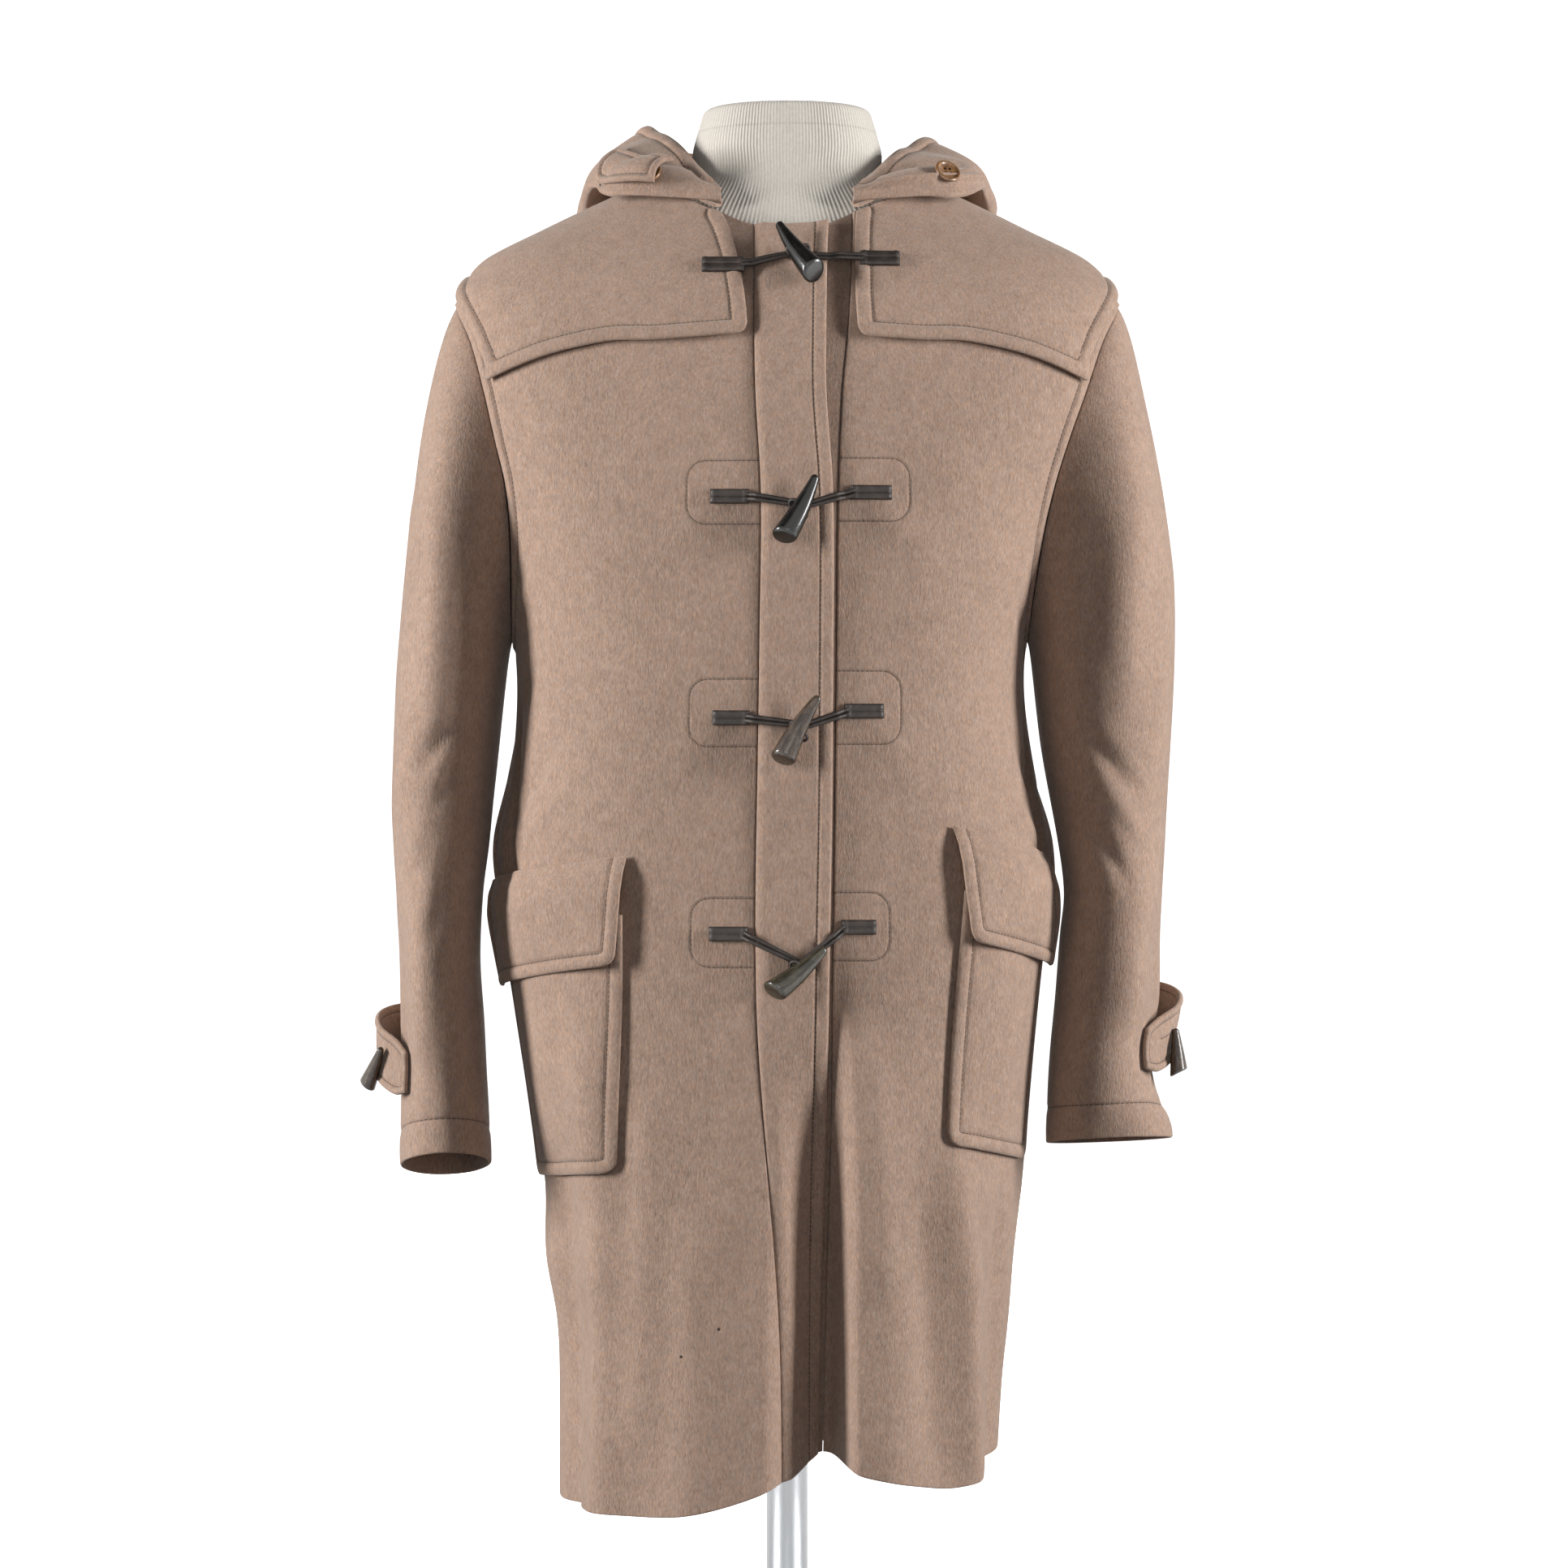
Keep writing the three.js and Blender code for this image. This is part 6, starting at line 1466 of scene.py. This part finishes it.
class AddPockets(PieceOperator, bpy.types.Operator):
    """Adds the pockets and their flaps"""

    bl_idname = "duffle_coat.add_pockets"
    bl_label = "Pockets and flaps"

    def build(self, settings):
        for side in (-1, 1):
            pocket(side, settings)
            flap(side, settings)


class AddFastenings(PieceOperator, bpy.types.Operator):
    """Adds the four fastenings of the front and the two cuff tabs"""

    bl_idname = "duffle_coat.add_fastenings"
    bl_label = "Toggles, tabs and cuff tabs"

    def build(self, settings):
        for number in range(1, 5):
            fastening(number, settings)
        cuff_tab(-1, settings)
        cuff_tab(1, settings)


class AddForm(PieceOperator, bpy.types.Operator):
    """Adds the dress form and its stand"""

    bl_idname = "duffle_coat.add_form"
    bl_label = "Dress form"

    def build(self, settings):
        form_body(settings)
        form_stand(settings)


class AddStage(PieceOperator, bpy.types.Operator):
    """Adds the floor, the lights and the camera"""

    bl_idname = "duffle_coat.add_stage"
    bl_label = "Stage"

    def build(self, settings):
        stage(settings)


OPERATORS = (AddTrunk, AddSleeves, AddYoke, AddHood, AddPockets, AddFastenings, AddForm, AddStage)


class DuffleCoatPanel(bpy.types.Panel):
    """Lists the settings and the pieces"""

    bl_idname = "VIEW3D_PT_duffle_coat"
    bl_label = "Duffle coat"
    bl_space_type = "VIEW_3D"
    bl_region_type = "UI"
    bl_category = "Duffle coat"

    def draw(self, context):
        for name in DuffleCoatSettings.__annotations__:
            self.layout.prop(context.scene.duffle_coat, name)
        for operator in OPERATORS:
            self.layout.operator(operator.bl_idname)


CLASSES = (DuffleCoatSettings, *OPERATORS, DuffleCoatPanel)


def register():
    for cls in CLASSES:
        bpy.utils.register_class(cls)
    bpy.types.Scene.duffle_coat = bpy.props.PointerProperty(type=DuffleCoatSettings)


def unregister():
    del bpy.types.Scene.duffle_coat
    for cls in reversed(CLASSES):
        bpy.utils.unregister_class(cls)


def main():
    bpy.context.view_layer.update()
    register()
    for operator in OPERATORS:
        group, name = operator.bl_idname.split(".")
        getattr(getattr(bpy.ops, group), name)()


if __name__ == "__main__":
    main()
